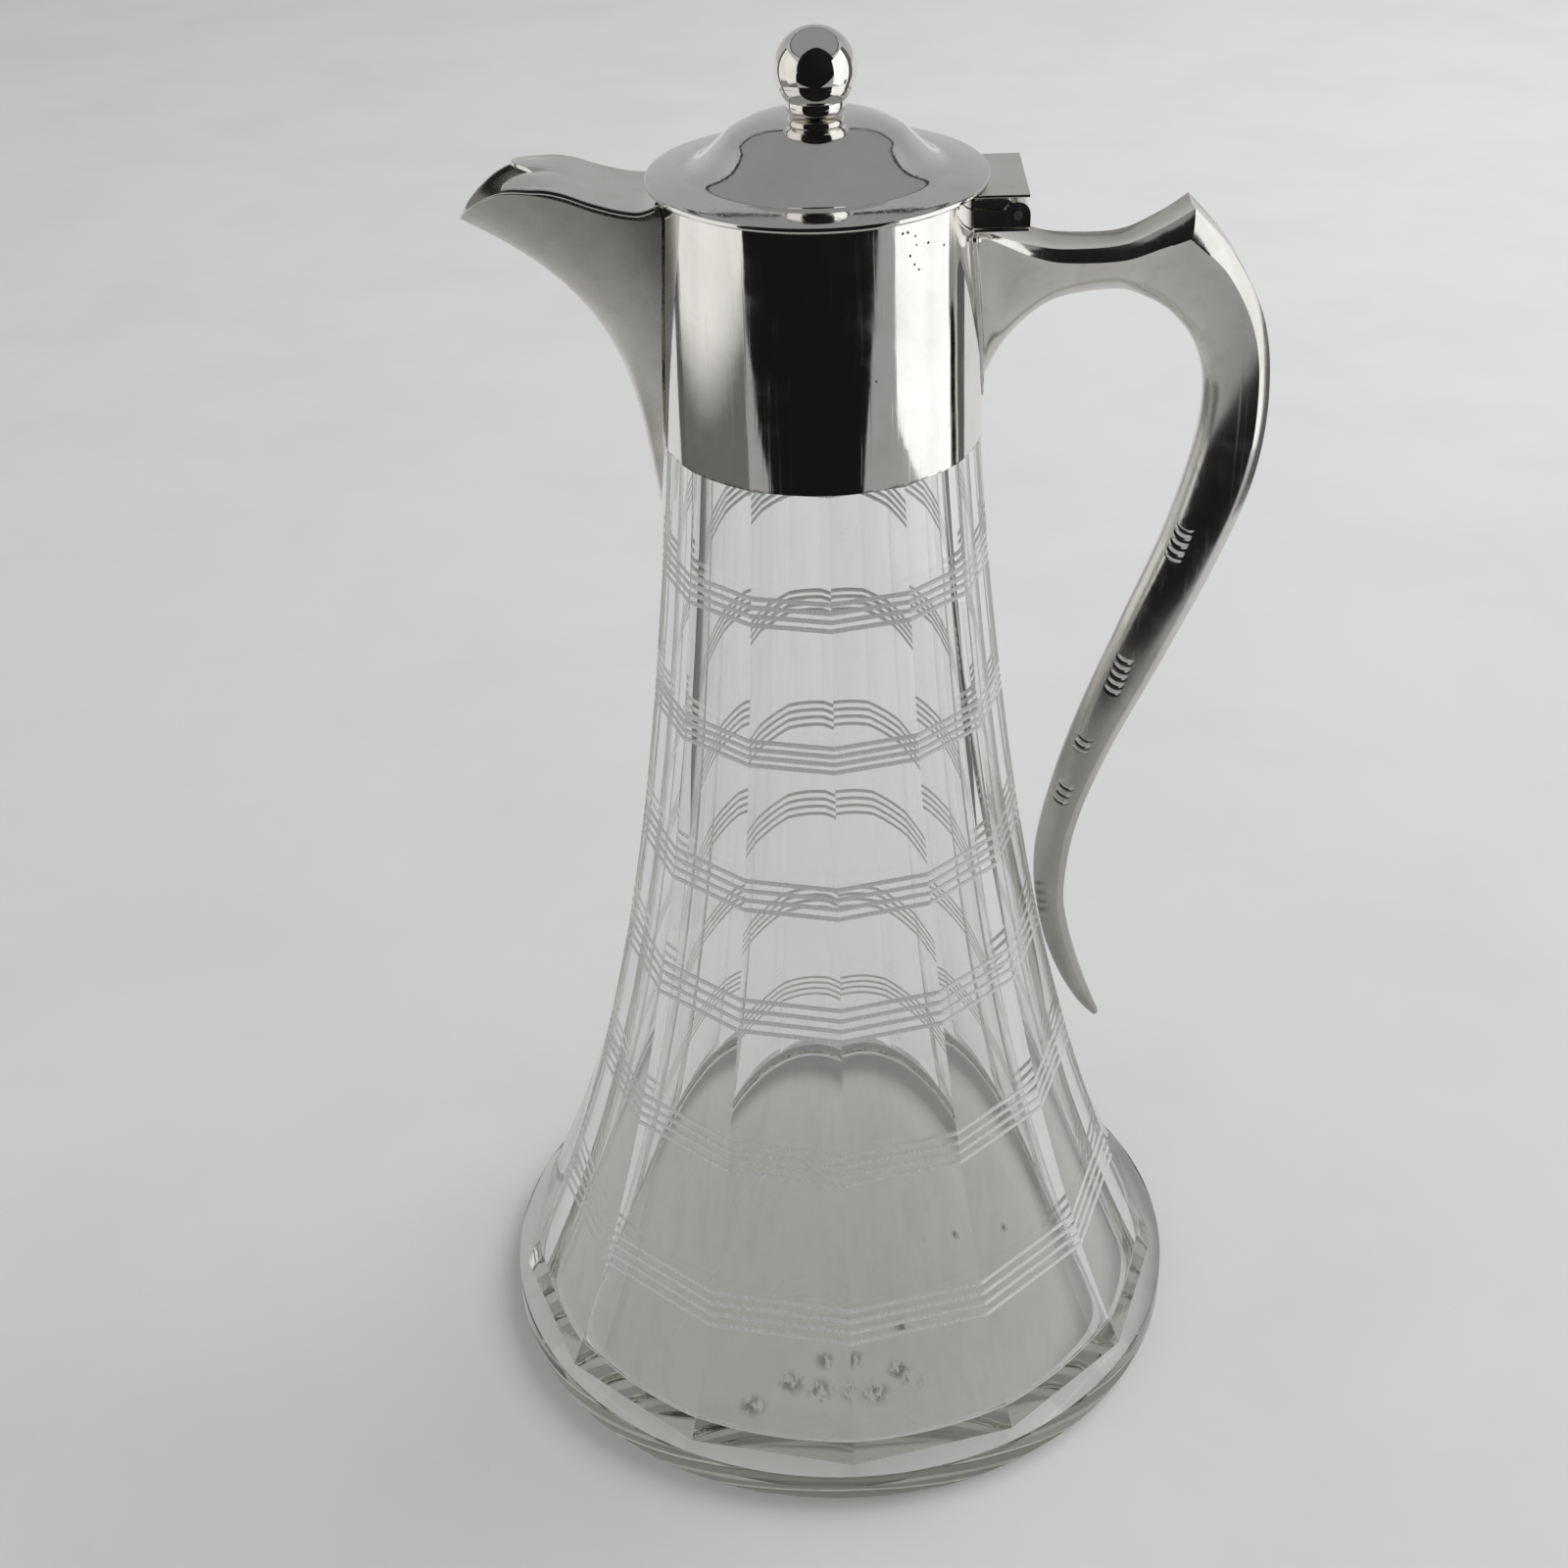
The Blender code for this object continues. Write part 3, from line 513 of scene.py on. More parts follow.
def random_pits(n, cloud, share):
    """A few round pits where the cloud of tarnish is thick."""
    cells = n.add("ShaderNodeTexVoronoi", Scale=330.0, Randomness=1.0, Vector=n.place)
    chance = n.add("ShaderNodeSeparateColor", Color=cells.outputs["Color"])
    chosen = n.maths("GREATER_THAN", chance.outputs[0], 1.0 - 0.012 * share)
    dot = n.ramp(cells.outputs["Distance"], 0.10, 0.17, 1.0, 0.0)
    return n.times(n.times(chosen, dot), n.ramp(cloud, 0.40, 0.55))


def grimy(n, height, seam, colour):
    """The colour with a ragged dark line just above a seam."""
    ragged = n.ramp(n.noise(700, 3, 0.6, (1, 1, 0.3)), 0.35, 0.65, 0.0, 0.0007)
    dirty = n.ramp(height, seam, n.plus(ragged, seam + 0.0002), 1.0, 0.0)
    return n.blend(n.times(dirty, 0.85), colour, rgb(0.05, 0.045, 0.035))


def silver(name, seed, bright=(0.93, 0.92, 0.895), tarnish=0.35, roughness=0.07, pits=1.0,
           waviness=1.0, cuts=False, pit_places=(), grime=None, rougher=None, painted_shading=None):
    """Polished plate with hairlines, smudges, warm tarnish and dark pits.

    rougher adds to the roughness, and the last argument paints shade and light into the colour by height:
    low height, high height, value below, value above.
    """
    n = Nodes(f"silver_{name}_metal")
    shift = (seed, -seed, 2 * seed)
    height = n.split(n.place)[2]
    cloud = n.noise(55, 5, 0.6, shift=shift)
    mottle = n.noise(260, 4, 0.6, shift=shift)
    tarnished = n.times(n.ramp(cloud, 0.38, 0.70), tarnish)
    tarnished = n.plus(tarnished, n.times(n.ramp(mottle, 0.45, 0.75), tarnish * 0.6))
    colour = n.blend(tarnished, rgb(*bright), rgb(*TARNISH))
    hairs = scratches(n, shift)
    smudge = n.ramp(n.noise(90, 6, 0.65, shift=(seed + 3, seed, seed)), 0.45, 0.75)
    rough = n.plus(roughness, n.times(smudge, 0.09))
    rough = n.plus(rough, n.times(hairs, 0.05), clamp=True)
    pit = random_pits(n, cloud, pits)
    if pit_places:
        pit = n.most(pit, spots(n, pit_places, PIT_RADIUS))
    if grime:
        colour = grimy(n, height, grime, colour)
    # painted shade and light: the colour is darkened or brightened by height
    if painted_shading:
        colour = n.blend(1.0, colour, n.ramp(height, *painted_shading), mode="MULTIPLY")
    if rougher:
        rough = n.plus(rough, n.ramp(height, *rougher))
    colour = n.blend(pit, colour, rgb(0.02, 0.018, 0.015))
    rough = n.mix(pit, rough, 0.6)

    wave = n.bump(n.noise(38, 2, 0.4, shift=shift), 0.00035 * waviness, 0.35)
    hair_bump = n.bump(hairs, 0.000004, 0.6, wave)
    grain = n.bump(mottle, 0.000008, 0.5, hair_bump)
    normal = n.bump(pit, -0.0001, 1.0, grain)
    if cuts:
        cut = crescents(n)
        normal = n.bump(cut, -0.00030, 1.0, normal)
        rough = n.mix(cut, rough, 0.12)
        colour = n.blend(cut, colour, rgb(0.98, 0.975, 0.96))
    n.set(Base_Color=colour, Metallic=1.0, Roughness=rough, Normal=normal)
    return n.material


def dull(name, colour, mottled, metallic, roughness, scale=400.0):
    """Plain unpolished surface with a fine mottle."""
    n = Nodes(name)
    mottle = n.ramp(n.noise(scale, 5, 0.6), 0.3, 0.7)
    rough = n.ramp(mottle, 0.0, 1.0, roughness, roughness + 0.15)
    colour = n.blend(mottle, rgb(*colour), rgb(*mottled))
    n.set(Base_Color=colour, Metallic=metallic, Roughness=rough, Normal=n.bump(mottle, 0.00003, 0.6))
    return n.material


# ---- glass

def as_glass(n, shadow, clearness=1.0, **looks):
    """Clear glass, olive where thick, that lamps shine through unbent for a soft bright shadow."""
    n.set(IOR=GLASS_IOR, Transmission_Weight=clearness, **looks)
    path = n.add("ShaderNodeLightPath")
    clear = n.add("ShaderNodeBsdfTransparent", Color=rgb(*shadow))
    n.give_way(n.most(path.outputs["Is Shadow Ray"], path.outputs["Is Diffuse Ray"]), clear)
    soak = n.add("ShaderNodeVolumeAbsorption", Density=GLASS_DENSITY, Color=rgb(*GLASS_SOAK))
    n.feed(n.output.inputs["Volume"], soak.outputs[0])
    return n.material


def polished_glass(name, tint):
    """Clear lead glass, very slightly uneven from hand grinding and polishing."""
    n = Nodes(name)
    haze = n.ramp(n.noise(70, 5, 0.6), 0.55, 0.85, 0.0, 0.02)
    uneven = n.bump(n.noise(90, 1, 0.4, (1, 1, 0.35)), 0.00002, 0.4)
    return as_glass(n, (0.95, 0.955, 0.95), Base_Color=rgb(*tint), Roughness=haze, Normal=uneven)


def smudged_glass(name):
    """The inside floor: clear, with small dark water marks."""
    n = Nodes(name)
    x, y, _ = n.split(n.place)
    near = 0.0
    for spot_x, spot_y, radius in SMUDGES:
        away = n.distance(n.minus(x, spot_x), n.minus(y, spot_y))
        near = n.most(n.ramp(away, radius, radius * 0.2), near)
    dashes = n.ramp(n.noise(520, 4, 0.65, (1, 0.5, 1)), 0.44, 0.56)
    film = n.ramp(n.noise(80, 6, 0.7, (1.4, 0.5, 1)), 0.42, 0.72, 0.0, 0.13)
    dirt = n.plus(n.times(n.times(near, dashes), 0.9), film, clamp=True)
    colour = n.blend(dirt, rgb(0.98, 0.985, 0.975), rgb(0.09, 0.08, 0.07))
    return as_glass(n, (0.96, 0.965, 0.96), Base_Color=colour, Roughness=0.0)


def ground_glass(name):
    """The unpolished bottoms of the cut lines, which bend some light and catch the rest."""
    n = Nodes(name)
    grain = n.noise(4200, 3, 0.6)
    rough = n.ramp(grain, 0.3, 0.7, 0.14, 0.30)
    return as_glass(n, (0.90, 0.90, 0.89), 0.42, Base_Color=rgb(0.97, 0.97, 0.96), Roughness=rough,
                    Normal=n.bump(grain, 0.00002, 0.4))


def ridge_radius(z):
    """Radius of the ridges between the cut panels."""
    return FLARE_NECK + FLARE_REACH * exp(-z / FLARE_HEIGHT)


def bore_radius(z):
    """Radius of the smooth inside of the vessel."""
    return max(ridge_radius(z) * cos(pi / PANELS) - WALL, NECK_BORE)


def round_ring(radius, z):
    """A round ring whose points keep to the panels' columns."""
    return circle(radius, z, PANELS * GLASS_COLUMNS, RIDGE_ANGLE)


def panel_ring(z, depth=0.0):
    """A thirteen-sided ring with flat sides, set in by the depth of a cut line."""
    flat = ridge_radius(z) * cos(pi / PANELS) - depth
    pitch = 2 * pi / PANELS
    ring = []
    for i in range(PANELS * GLASS_COLUMNS):
        angle = pitch * i / GLASS_COLUMNS
        radius = flat / cos(angle % pitch - pitch / 2)
        ring.append((radius * cos(RIDGE_ANGLE + angle), radius * sin(RIDGE_ANGLE + angle), z))
    return ring


def panel_levels():
    """Rows up the panels: height, depth of cut and whether the face above is ground."""
    levels = [(PANEL_BOTTOM, 0.0, False)]
    for low, high in CUT_BANDS:
        for cut in range(CUTS_PER_BAND):
            middle = low + (high - low) * cut / (CUTS_PER_BAND - 1)
            gap = middle - CUT_HALF_WIDTH - levels[-1][0]
            steps = max(int(gap / PLAIN_STEP), 1)
            for step in range(1, steps):
                levels.append((levels[-1][0] + gap / steps, 0.0, False))
            for across, deep, ground in CUT_PROFILE:
                levels.append((middle + CUT_HALF_WIDTH * across, CUT_DEPTH * deep, ground))
    start = levels[-1][0]
    steps = int((PANEL_TOP - start) / PLAIN_STEP) + 1
    return levels + [(z, 0.0, False) for z in spread(start, PANEL_TOP, steps)[1:]]


def make_glass():
    """The cut vessel: foot, panels with bands of cut lines, neck and smooth inside."""
    rings = []
    for step in range(4):
        turn = radians(30 * step)
        radius = FOOT_RADIUS - FOOT_BEVEL * (1 - sin(turn))
        rings.append((round_ring(radius, FOOT_BEVEL * (1 - cos(turn))), 1))
    rings.append((round_ring(FOOT_RADIUS, FOOT_HEIGHT - FOOT_BEVEL), 1))
    rings.append((round_ring(FOOT_RADIUS - FOOT_BEVEL * 0.3, FOOT_HEIGHT - FOOT_BEVEL * 0.2), 0))
    rings += [(panel_ring(z, depth), 2 if ground else 0) for z, depth, ground in panel_levels()]
    lip = 0.0007
    low = FLOOR_HEIGHT + FILLET
    profile = [(NECK_RADIUS, PANEL_TOP + GAP / 3), (NECK_RADIUS, MOUTH_HEIGHT - lip),
               (NECK_RADIUS - lip, MOUTH_HEIGHT), (NECK_BORE + lip, MOUTH_HEIGHT),
               (NECK_BORE, MOUTH_HEIGHT - lip)]
    profile += [(bore_radius(z), z) for z in spread(MOUTH_HEIGHT - 2 * lip, low, 44)]
    for step in range(1, 9):
        turn = pi / 2 * step / 8
        radius = bore_radius(low) - FILLET * (1 - cos(turn))
        profile.append((radius, FLOOR_HEIGHT + FILLET * (1 - sin(turn))))
    rings += [(round_ring(radius, z), 0) for radius, z in profile]
    bm = bmesh.new()
    loops = [(verts(bm, ring), material) for ring, material in rings]
    for (low_loop, material), (high_loop, _) in zip(loops, loops[1:]):
        skin(bm, low_loop, high_loop, closed=True, material=material)
    bm.faces.new(reversed(loops[0][0]))
    floor = bm.faces.new(loops[-1][0])
    floor.material_index = 3
    return finish(bm, "cut_glass_body", [clear_glass, foot_glass, cut_glass, floor_glass], sharp=11.0)


# ---- collar

def collar_radius(z):
    """Outer radius of the slightly tapered collar."""
    share = (z - COLLAR_BOTTOM) / (COLLAR_TOP - COLLAR_BOTTOM)
    return COLLAR_RADIUS_BOTTOM + (COLLAR_RADIUS_TOP - COLLAR_RADIUS_BOTTOM) * share


def opening_half_width(z):
    """Half width of the collar's opening into the spout."""
    share = min((z - OPENING_BOTTOM) / (OPENING_SHOULDER - OPENING_BOTTOM), 1.0)
    return OPENING_HALF_WIDTH * (0.5 + 0.5 * share)


def make_collar():
    """Tapered silver band with an opening into the spout and softly broken edges."""
    bm = bmesh.new()
    edge = 0.00016
    side = 300
    sill = 12

    def ring(radius, z, step, count, start):
        turns = [start + step * i for i in range(count)]
        return [(-radius * cos(turn), -radius * sin(turn), z) for turn in turns]

    def band_row(inset, z, in_opening):
        radius = collar_radius(z) - inset
        half = asin(opening_half_width(max(z, OPENING_BOTTOM)) / collar_radius(z))
        step = (2 * pi - 2 * half) / side
        row = ring(radius, z, step, side + 1, half)
        if not in_opening:
            row += ring(radius, z, 2 * half / sill, sill - 1, 2 * pi - half + 2 * half / sill)
        return verts(bm, row)

    low_levels = [COLLAR_BOTTOM + edge, OPENING_BOTTOM - 0.004, OPENING_BOTTOM]
    high_levels = spread(OPENING_BOTTOM, COLLAR_TOP - edge, 8)[1:]
    low_out = [band_row(0.0, z, False) for z in low_levels]
    low_in = [band_row(SHEET, z, False) for z in low_levels]
    foot = band_row(SHEET / 2, COLLAR_BOTTOM, False)
    for rows in (low_out, low_in, [low_out[0], foot, low_in[0]]):
        skins(bm, rows, closed=True)
    outs = [low_out[-1][:side + 1]] + [band_row(0.0, z, True) for z in high_levels]
    ins = [low_in[-1][:side + 1]] + [band_row(SHEET, z, True) for z in high_levels]
    skins(bm, outs)
    skins(bm, ins)
    for level in range(len(outs) - 1):
        for end in (0, -1):
            bm.faces.new((outs[level][end], outs[level + 1][end], ins[level + 1][end], ins[level][end]))
    top = band_row(SHEET / 2, COLLAR_TOP, True)
    skins(bm, [outs[-1], top, ins[-1]])
    for end in (0, -1):
        bm.faces.new((outs[-1][end], top[end], ins[-1][end]))
    skin(bm, *[row[side:] + [row[0]] for row in (low_out[-1], low_in[-1])])
    return finish(bm, "silver_collar_band", [silver_collar])


# ---- spout

def keel_distance(z):
    """Distance of the spout's keel from the jug's axis."""
    height = SPOUT_TIP.z - SPOUT_BOTTOM
    sweep = KEEL_SWEEP * (max(z - SPOUT_BOTTOM, 0.0) / height) ** KEEL_POWER
    return KEEL_START + KEEL_LEAN * (z - SPOUT_BOTTOM) + sweep


def seat_radius(z):
    """Radius of the surface that the spout's back edge sits against."""
    if z > COLLAR_BOTTOM:
        return collar_radius(z) + GAP
    return ridge_radius(z) + GAP


def seam_half_width(z):
    """Half width of the spout where it meets the collar."""
    share = max(z - SPOUT_BOTTOM, 0.0) / (SPOUT_ROOT_HEIGHT - SPOUT_BOTTOM)
    return SPOUT_HALF_WIDTH * share ** SEAM_POWER


def beak_opening(distance):
    """Share of its full width that the spout has at a distance behind its tip."""
    return 1 - exp(-(max(distance, 1e-9) / BEAK_LENGTH) ** BEAK_POWER)


def beak_width(half_width, behind_tip, length):
    """Half width of the spout at a distance behind its keel."""
    return half_width * beak_opening(behind_tip) / beak_opening(length)


def spout_plan(share, inset):
    """Seam height, keel height, half width, keel distance and length of one row of the spout."""
    seam_z = SPOUT_BOTTOM + (SPOUT_ROOT_HEIGHT - SPOUT_BOTTOM) * share
    keel_z = SPOUT_BOTTOM + (SPOUT_TIP.z - SPOUT_BOTTOM) * share
    half = max(seam_half_width(seam_z) - inset, 0.0008)
    keel = keel_distance(keel_z) - 1.3 * inset
    return seam_z, keel_z, half, keel, keel - sqrt(seat_radius(seam_z) ** 2 - half ** 2)


def spout_row(share, inset, lift=0.0):
    """One row of the spout's side, from the near seam round the keel to the far seam."""
    seam_z, keel_z, half, keel, length = spout_plan(share, inset)
    rim_seam, rim_keel, _, rim_start, rim_length = spout_plan(1.0, inset)
    near = []
    for i in range(SPOUT_POINTS):
        back = (1 - i / (SPOUT_POINTS - 1)) ** 1.6
        straight = seam_z + (keel_z - seam_z) * (1 - back)
        rim_straight = rim_seam + (rim_keel - rim_seam) * (1 - back)
        wave = along(RIM, back * rim_length - rim_start) - rim_straight
        z = straight + wave * share ** RIM_REACH + lift
        near.append((back * length - keel, -beak_width(half, back * length, length), z))
    return near + mirrored(near[:-1])


def seat_arc(row, points=9):
    """Points that carry the spout's back along the collar between its seams."""
    x, y, z = row[0]
    radius = sqrt(x * x + y * y)
    arc = []
    for i in range(points):
        side = (2 * i / (points - 1) - 1) * abs(y)
        arc.append((-sqrt(radius ** 2 - side ** 2), side, z))
    return arc


def make_spout():
    """Silver beak: solid tail below, open channel above, one closed skin with a rounded rim."""
    floor_share = 0.42
    tail_shares = spread(0.03, floor_share, 12)
    channel_shares = [floor_share + (1.0 - floor_share) * (1 - (1 - i / 32) ** 1.3) for i in range(33)]
    bm = bmesh.new()
    outer = [verts(bm, spout_row(share, 0.0)) for share in tail_shares]
    backs = [verts(bm, seat_arc(spout_row(share, SHEET))) for share in tail_shares]
    for low, high, low_back, high_back in zip(outer, outer[1:], backs, backs[1:]):
        skin(bm, low, high)
        skin(bm, [low[-1]] + low_back[::-1] + [low[0]], [high[-1]] + high_back[::-1] + [high[0]])
    bm.faces.new(outer[0] + backs[0][::-1])
    walls = [outer[-1]] + [verts(bm, spout_row(share, 0.0)) for share in channel_shares[1:]]
    first = spout_row(channel_shares[0], SHEET)
    floor = [backs[-1][0]] + verts(bm, first[1:-1]) + [backs[-1][-1]]
    linings = [floor] + [verts(bm, spout_row(share, SHEET)) for share in channel_shares[1:]]
    bm.faces.new(floor + backs[-1][1:-1][::-1])
    for low, high, low_in, high_in in zip(walls, walls[1:], linings, linings[1:]):
        skin(bm, low, high)
        skin(bm, high_in, low_in)
        bm.faces.new((low[0], high[0], high_in[0], low_in[0]))
        bm.faces.new((low[-1], low_in[-1], high_in[-1], high[-1]))
    crown = []
    for step in (1, 2, 3):
        turn = pi * step / 4
        inset = SHEET * (1 - cos(turn)) / 2
        crown.append(verts(bm, spout_row(1.0, inset, lift=0.00022 * sin(turn))))
    rim = [walls[-1], *crown, linings[-1]]
    skins(bm, rim)
    for end in (0, -1):
        bm.faces.new([row[end] for row in rim])
    return finish(bm, "silver_spout", [silver_spout], sharp=38.0)


# ---- flap

def flap_half_width(x):
    """The flap is flush with the spout, and its tab passes through the collar's opening."""
    if x > -FLAP_STEP:
        return FLAP_TAB_HALF_WIDTH
    reach = -SPOUT_TIP.x
    root = sqrt(COLLAR_RADIUS_TOP ** 2 - SPOUT_HALF_WIDTH ** 2)
    return beak_width(SPOUT_HALF_WIDTH, reach + x, reach - root)


def flap_height(x, y):
    """The flap's top: it follows the rim, rises under the lid and has a crease to its notch."""
    root = unit((FLAP_DIP + x) / (FLAP_DIP - FLAP_ROOT))
    on_rim = along(RIM, x) + FLAP_SHEET + 1.4 * GAP
    near_end = unit((-x - FLAP_CURL) / 0.007) ** 2
    crease = CREASE_DEPTH * near_end * exp(-abs(y) / CREASE_WIDTH)
    droop = DROOP_DEPTH * near_end * min(abs(y) / DROOP_HALF_WIDTH, 1.0) ** 2
    return on_rim + (COVER_TOP - on_rim) * root ** 2 - crease - droop


def flap_end(side):
    """End of the flap across its width: two round lobes about a notch."""
    return FLAP_NOTCH + (FLAP_END - FLAP_NOTCH) * sin(min(abs(side) * 1.15, 1.0) * pi / 2)


def make_flap():
    """S-curved tongue over the spout, with two lobes at its end and rounded edges."""
    across = [sin(pi / 2 * (i / 20)) for i in range(-20, 21)]
    step_width = 0.0001
    lengths = [FLAP_ROOT, FLAP_STEP - step_width] + spread(FLAP_STEP + step_width, FLAP_STRAIGHT, 60)
    rows = [[(-length, side) for side in across] for length in lengths]
    for step in range(1, 17):
        share = sin(pi / 2 * step / 16)
        rows.append([(-(FLAP_STRAIGHT + (flap_end(side) - FLAP_STRAIGHT) * share), side) for side in across])
    bm = bmesh.new()
    edge = 0.00028

    def sheet(inset, drop):
        pull = edge * inset
        result = []
        for row in rows:
            points = []
            for x, side in row:
                y = side * (flap_half_width(x) - pull)
                shortened = x + pull * max((-x - FLAP_CURL) / 0.0115, 0.0)
                points.append((shortened, y, flap_height(x, y) - drop))
            result.append(verts(bm, points))
        return result

    layers = [sheet(1.0, 0.0), sheet(0.3, edge * 0.35), sheet(0.0, edge), sheet(0.0, FLAP_SHEET - edge),
              sheet(0.3, FLAP_SHEET - edge * 0.35), sheet(1.0, FLAP_SHEET)]
    skins(bm, layers[0])
    skins(bm, layers[-1])
    skins(bm, [border(layer) for layer in layers], closed=True)
    loose = [v for v in bm.verts if not v.link_faces]
    bmesh.ops.delete(bm, geom=loose, context="VERTS")
    return finish(bm, "silver_flap", [silver_flap], sharp=50.0)


def border(rows):
    """The vertices round the edge of a grid, in order."""
    right = [row[-1] for row in rows[1:-1]]
    left = [row[0] for row in rows[1:-1]]
    return rows[0] + right + rows[-1][::-1] + left[::-1]


# ---- handle

def handle_point(row, dish, at):
    """A point of one section, from 0 at the middle of the spine to 4 at the inner edge."""
    inner_x, inner_z, outer_x, outer_z, half, spine, chamfer, fullness = row
    outer = Vector((outer_x, 0.0, outer_z))
    inner = Vector((inner_x, 0.0, inner_z))
    depth = (outer - inner).length
    bevel = chamfer / depth
    if at <= 1:
        down = dish / depth * (1 - at ** 2)
        side = spine * at
    elif at <= 2:
        share = at - 1
        swell = 0.06 * chamfer * sin(pi * share)
        down = bevel * share
        side = spine + (half - spine) * share + swell
    else:
        turn = (at - 2) / 2
        share = 1 - (1 - turn) ** 2
        down = bevel + (1 - bevel) * share
        side = half * (1 - share ** fullness) ** ROUND_POWER
    return outer.lerp(inner, down) + Vector((0.0, -side, 0.0))


def round_places():
    """Places round one side of a section, closer together beside the two creases."""
    soft = 0.06
    places = [i / 6 * (1 - soft) for i in range(7)]
    places += [1 - soft / 2, 1.0, 1 + soft / 2, 1 + soft, 1.25, 1.5, 1.75]
    places += [2 - soft, 2 - soft / 2, 2.0, 2 + soft / 2]
    return places + spread(2.06, 3.95, 30)


def handle_ring(row, dish):
    """One closed ring of the handle."""
    near = [handle_point(row, dish, at) for at in round_places()]
    return near + [handle_point(row, dish, 4.0)] + mirrored(near[1:])


def make_handle():
    """Cast silver handle: webbed root, dished top, thumb peak, bend and flicked tail."""
    top_steps = 16
    sweep_steps = 20
    last = len(HANDLE_TOP) - 1
    count = int((last - HANDLE_START) * top_steps)
    rows = [(station(HANDLE_TOP, at), THUMB_DISH) for at in spread(HANDLE_START, last, count)]
    length = len(HANDLE_SWEEP) - 1
    for i in range(1, length * sweep_steps + 1):
        at = i / sweep_steps
        rows.append((station(HANDLE_SWEEP, at), THUMB_DISH * (1 - at / length)))
    bm = bmesh.new()
    tube(bm, [verts(bm, handle_ring(row, dish)) for row, dish in rows])
    root_end = 0.0300
    for vertex in bm.verts:
        seat = collar_radius(vertex.co.z) + GAP
        if vertex.co.x < root_end and vertex.co.xy.length < seat:
            vertex.co.x = sqrt(max(seat ** 2 - vertex.co.y ** 2, 0.0))
    return finish(bm, "silver_handle", [silver_handle], sharp=48.0)


def make_solder():
    """Lumpy bead of silver solder round the root of the handle, open at the top."""
    bm = bmesh.new()
    row = station(HANDLE_TOP, HANDLE_START)
    steps = 90
    sides = 10
    path = [handle_point(row, 0.0, 1.0 + 2.9 * i / steps) for i in range(steps + 1)]
    path += mirrored(path)
    centres = []
    for p in path:
        seat = collar_radius(p.z) + 0.00015
        side = p.y * 1.015
        centres.append(Vector((sqrt(seat ** 2 - side ** 2), side, p.z)))
    rings = []
    for i, centre in enumerate(centres):
        ahead = centres[min(i + 1, len(centres) - 1)] - centres[max(i - 1, 0)]
        out = Vector((centre.x, centre.y, 0.0)).normalized()
        aside = ahead.cross(out).normalized()
        high = unit((centre.z - 0.226) / 0.008)
        lump = noise.noise(centre * 650.0) * 0.5 + 0.5
        radius = 0.00022 + (0.00015 + 0.00045 * high) * lump ** 2
        turns = [2 * pi * k / sides for k in range(sides)]
        rings.append(verts(bm, [centre + (out * cos(t) + aside * sin(t)) * radius for t in turns]))
    tube(bm, rings)
    return finish(bm, "silver_solder_bead", [silver_solder], sharp=80.0)


# ---- lid and finial

def lid_height(radius):
    """Height of the lid's top: a flange that falls outwards and sweeps up into the dome."""
    from_rim = min((LID_RADIUS - radius) / FALL_WIDTH, 1.0)
    from_top = unit((radius - DOME_RADIUS / 3) / (DOME_RADIUS / 3))
    fall = FALL_HEIGHT * sin(pi / 2 * from_rim) * from_top ** 2
    dome = 0.0
    if radius < DOME_RADIUS:
        dome = DOME_HEIGHT * (1 + cos(pi * (radius / DOME_RADIUS) ** DOME_POWER)) / 2
    return LID_TOP + dome + fall


def make_lid():
    """Round lid sheet with its dome and a softly rounded edge."""
    edge = 0.00032
    inside = spread(STUD_HOLE, DOME_RADIUS, 48)
    outside = spread(DOME_RADIUS, LID_RADIUS - edge, 12)[1:-1]
    outline = [(radius, lid_height(radius)) for radius in inside + outside]
    for step in range(7):
        turn = pi / 2 * step / 6
        outline.append((LID_RADIUS - edge * (1 - sin(turn)), LID_TOP - edge * (1 - cos(turn))))
    outline += [(LID_RADIUS, LID_TOP - LID_THICKNESS + edge), (LID_RADIUS - edge, LID_TOP - LID_THICKNESS)]
    outline += [(radius, lid_height(radius) - LID_THICKNESS) for radius in reversed(inside)]
    return finish(lathe(outline), "silver_lid", [silver_lid])


def make_bezel():
    """Locating ring under the lid."""
    outer = BEZEL_HIGH.y
    inner = outer - 0.0008
    outline = [(inner, BEZEL_LOW.z), (outer, BEZEL_LOW.z), (outer, BEZEL_HIGH.z), (inner, BEZEL_HIGH.z)]
    return finish(lathe(fillet(outline, 0.0002)), "silver_bezel", [silver_plain])


def make_neck():
    """Single bead between the dome and the knob."""
    outer = NECK_HIGH.y
    top = KNOB_SEAT - GAP / 3
    height = top - NECK_LOW.z
    outline = [(STUD_HOLE, NECK_LOW.z), (outer - 0.0007, NECK_LOW.z)]
    for i in range(17):
        share = i / 16
        bead = sin(pi * share) ** 0.6
        outline.append((outer - 0.0006 + 0.0006 * bead, NECK_LOW.z + height * (0.02 + 0.96 * share)))
    outline += [(outer - 0.0007, top), (STUD_HOLE, top)]
    return finish(lathe(outline, 120), "silver_neck_ring", [silver_ball], sharp=50.0)


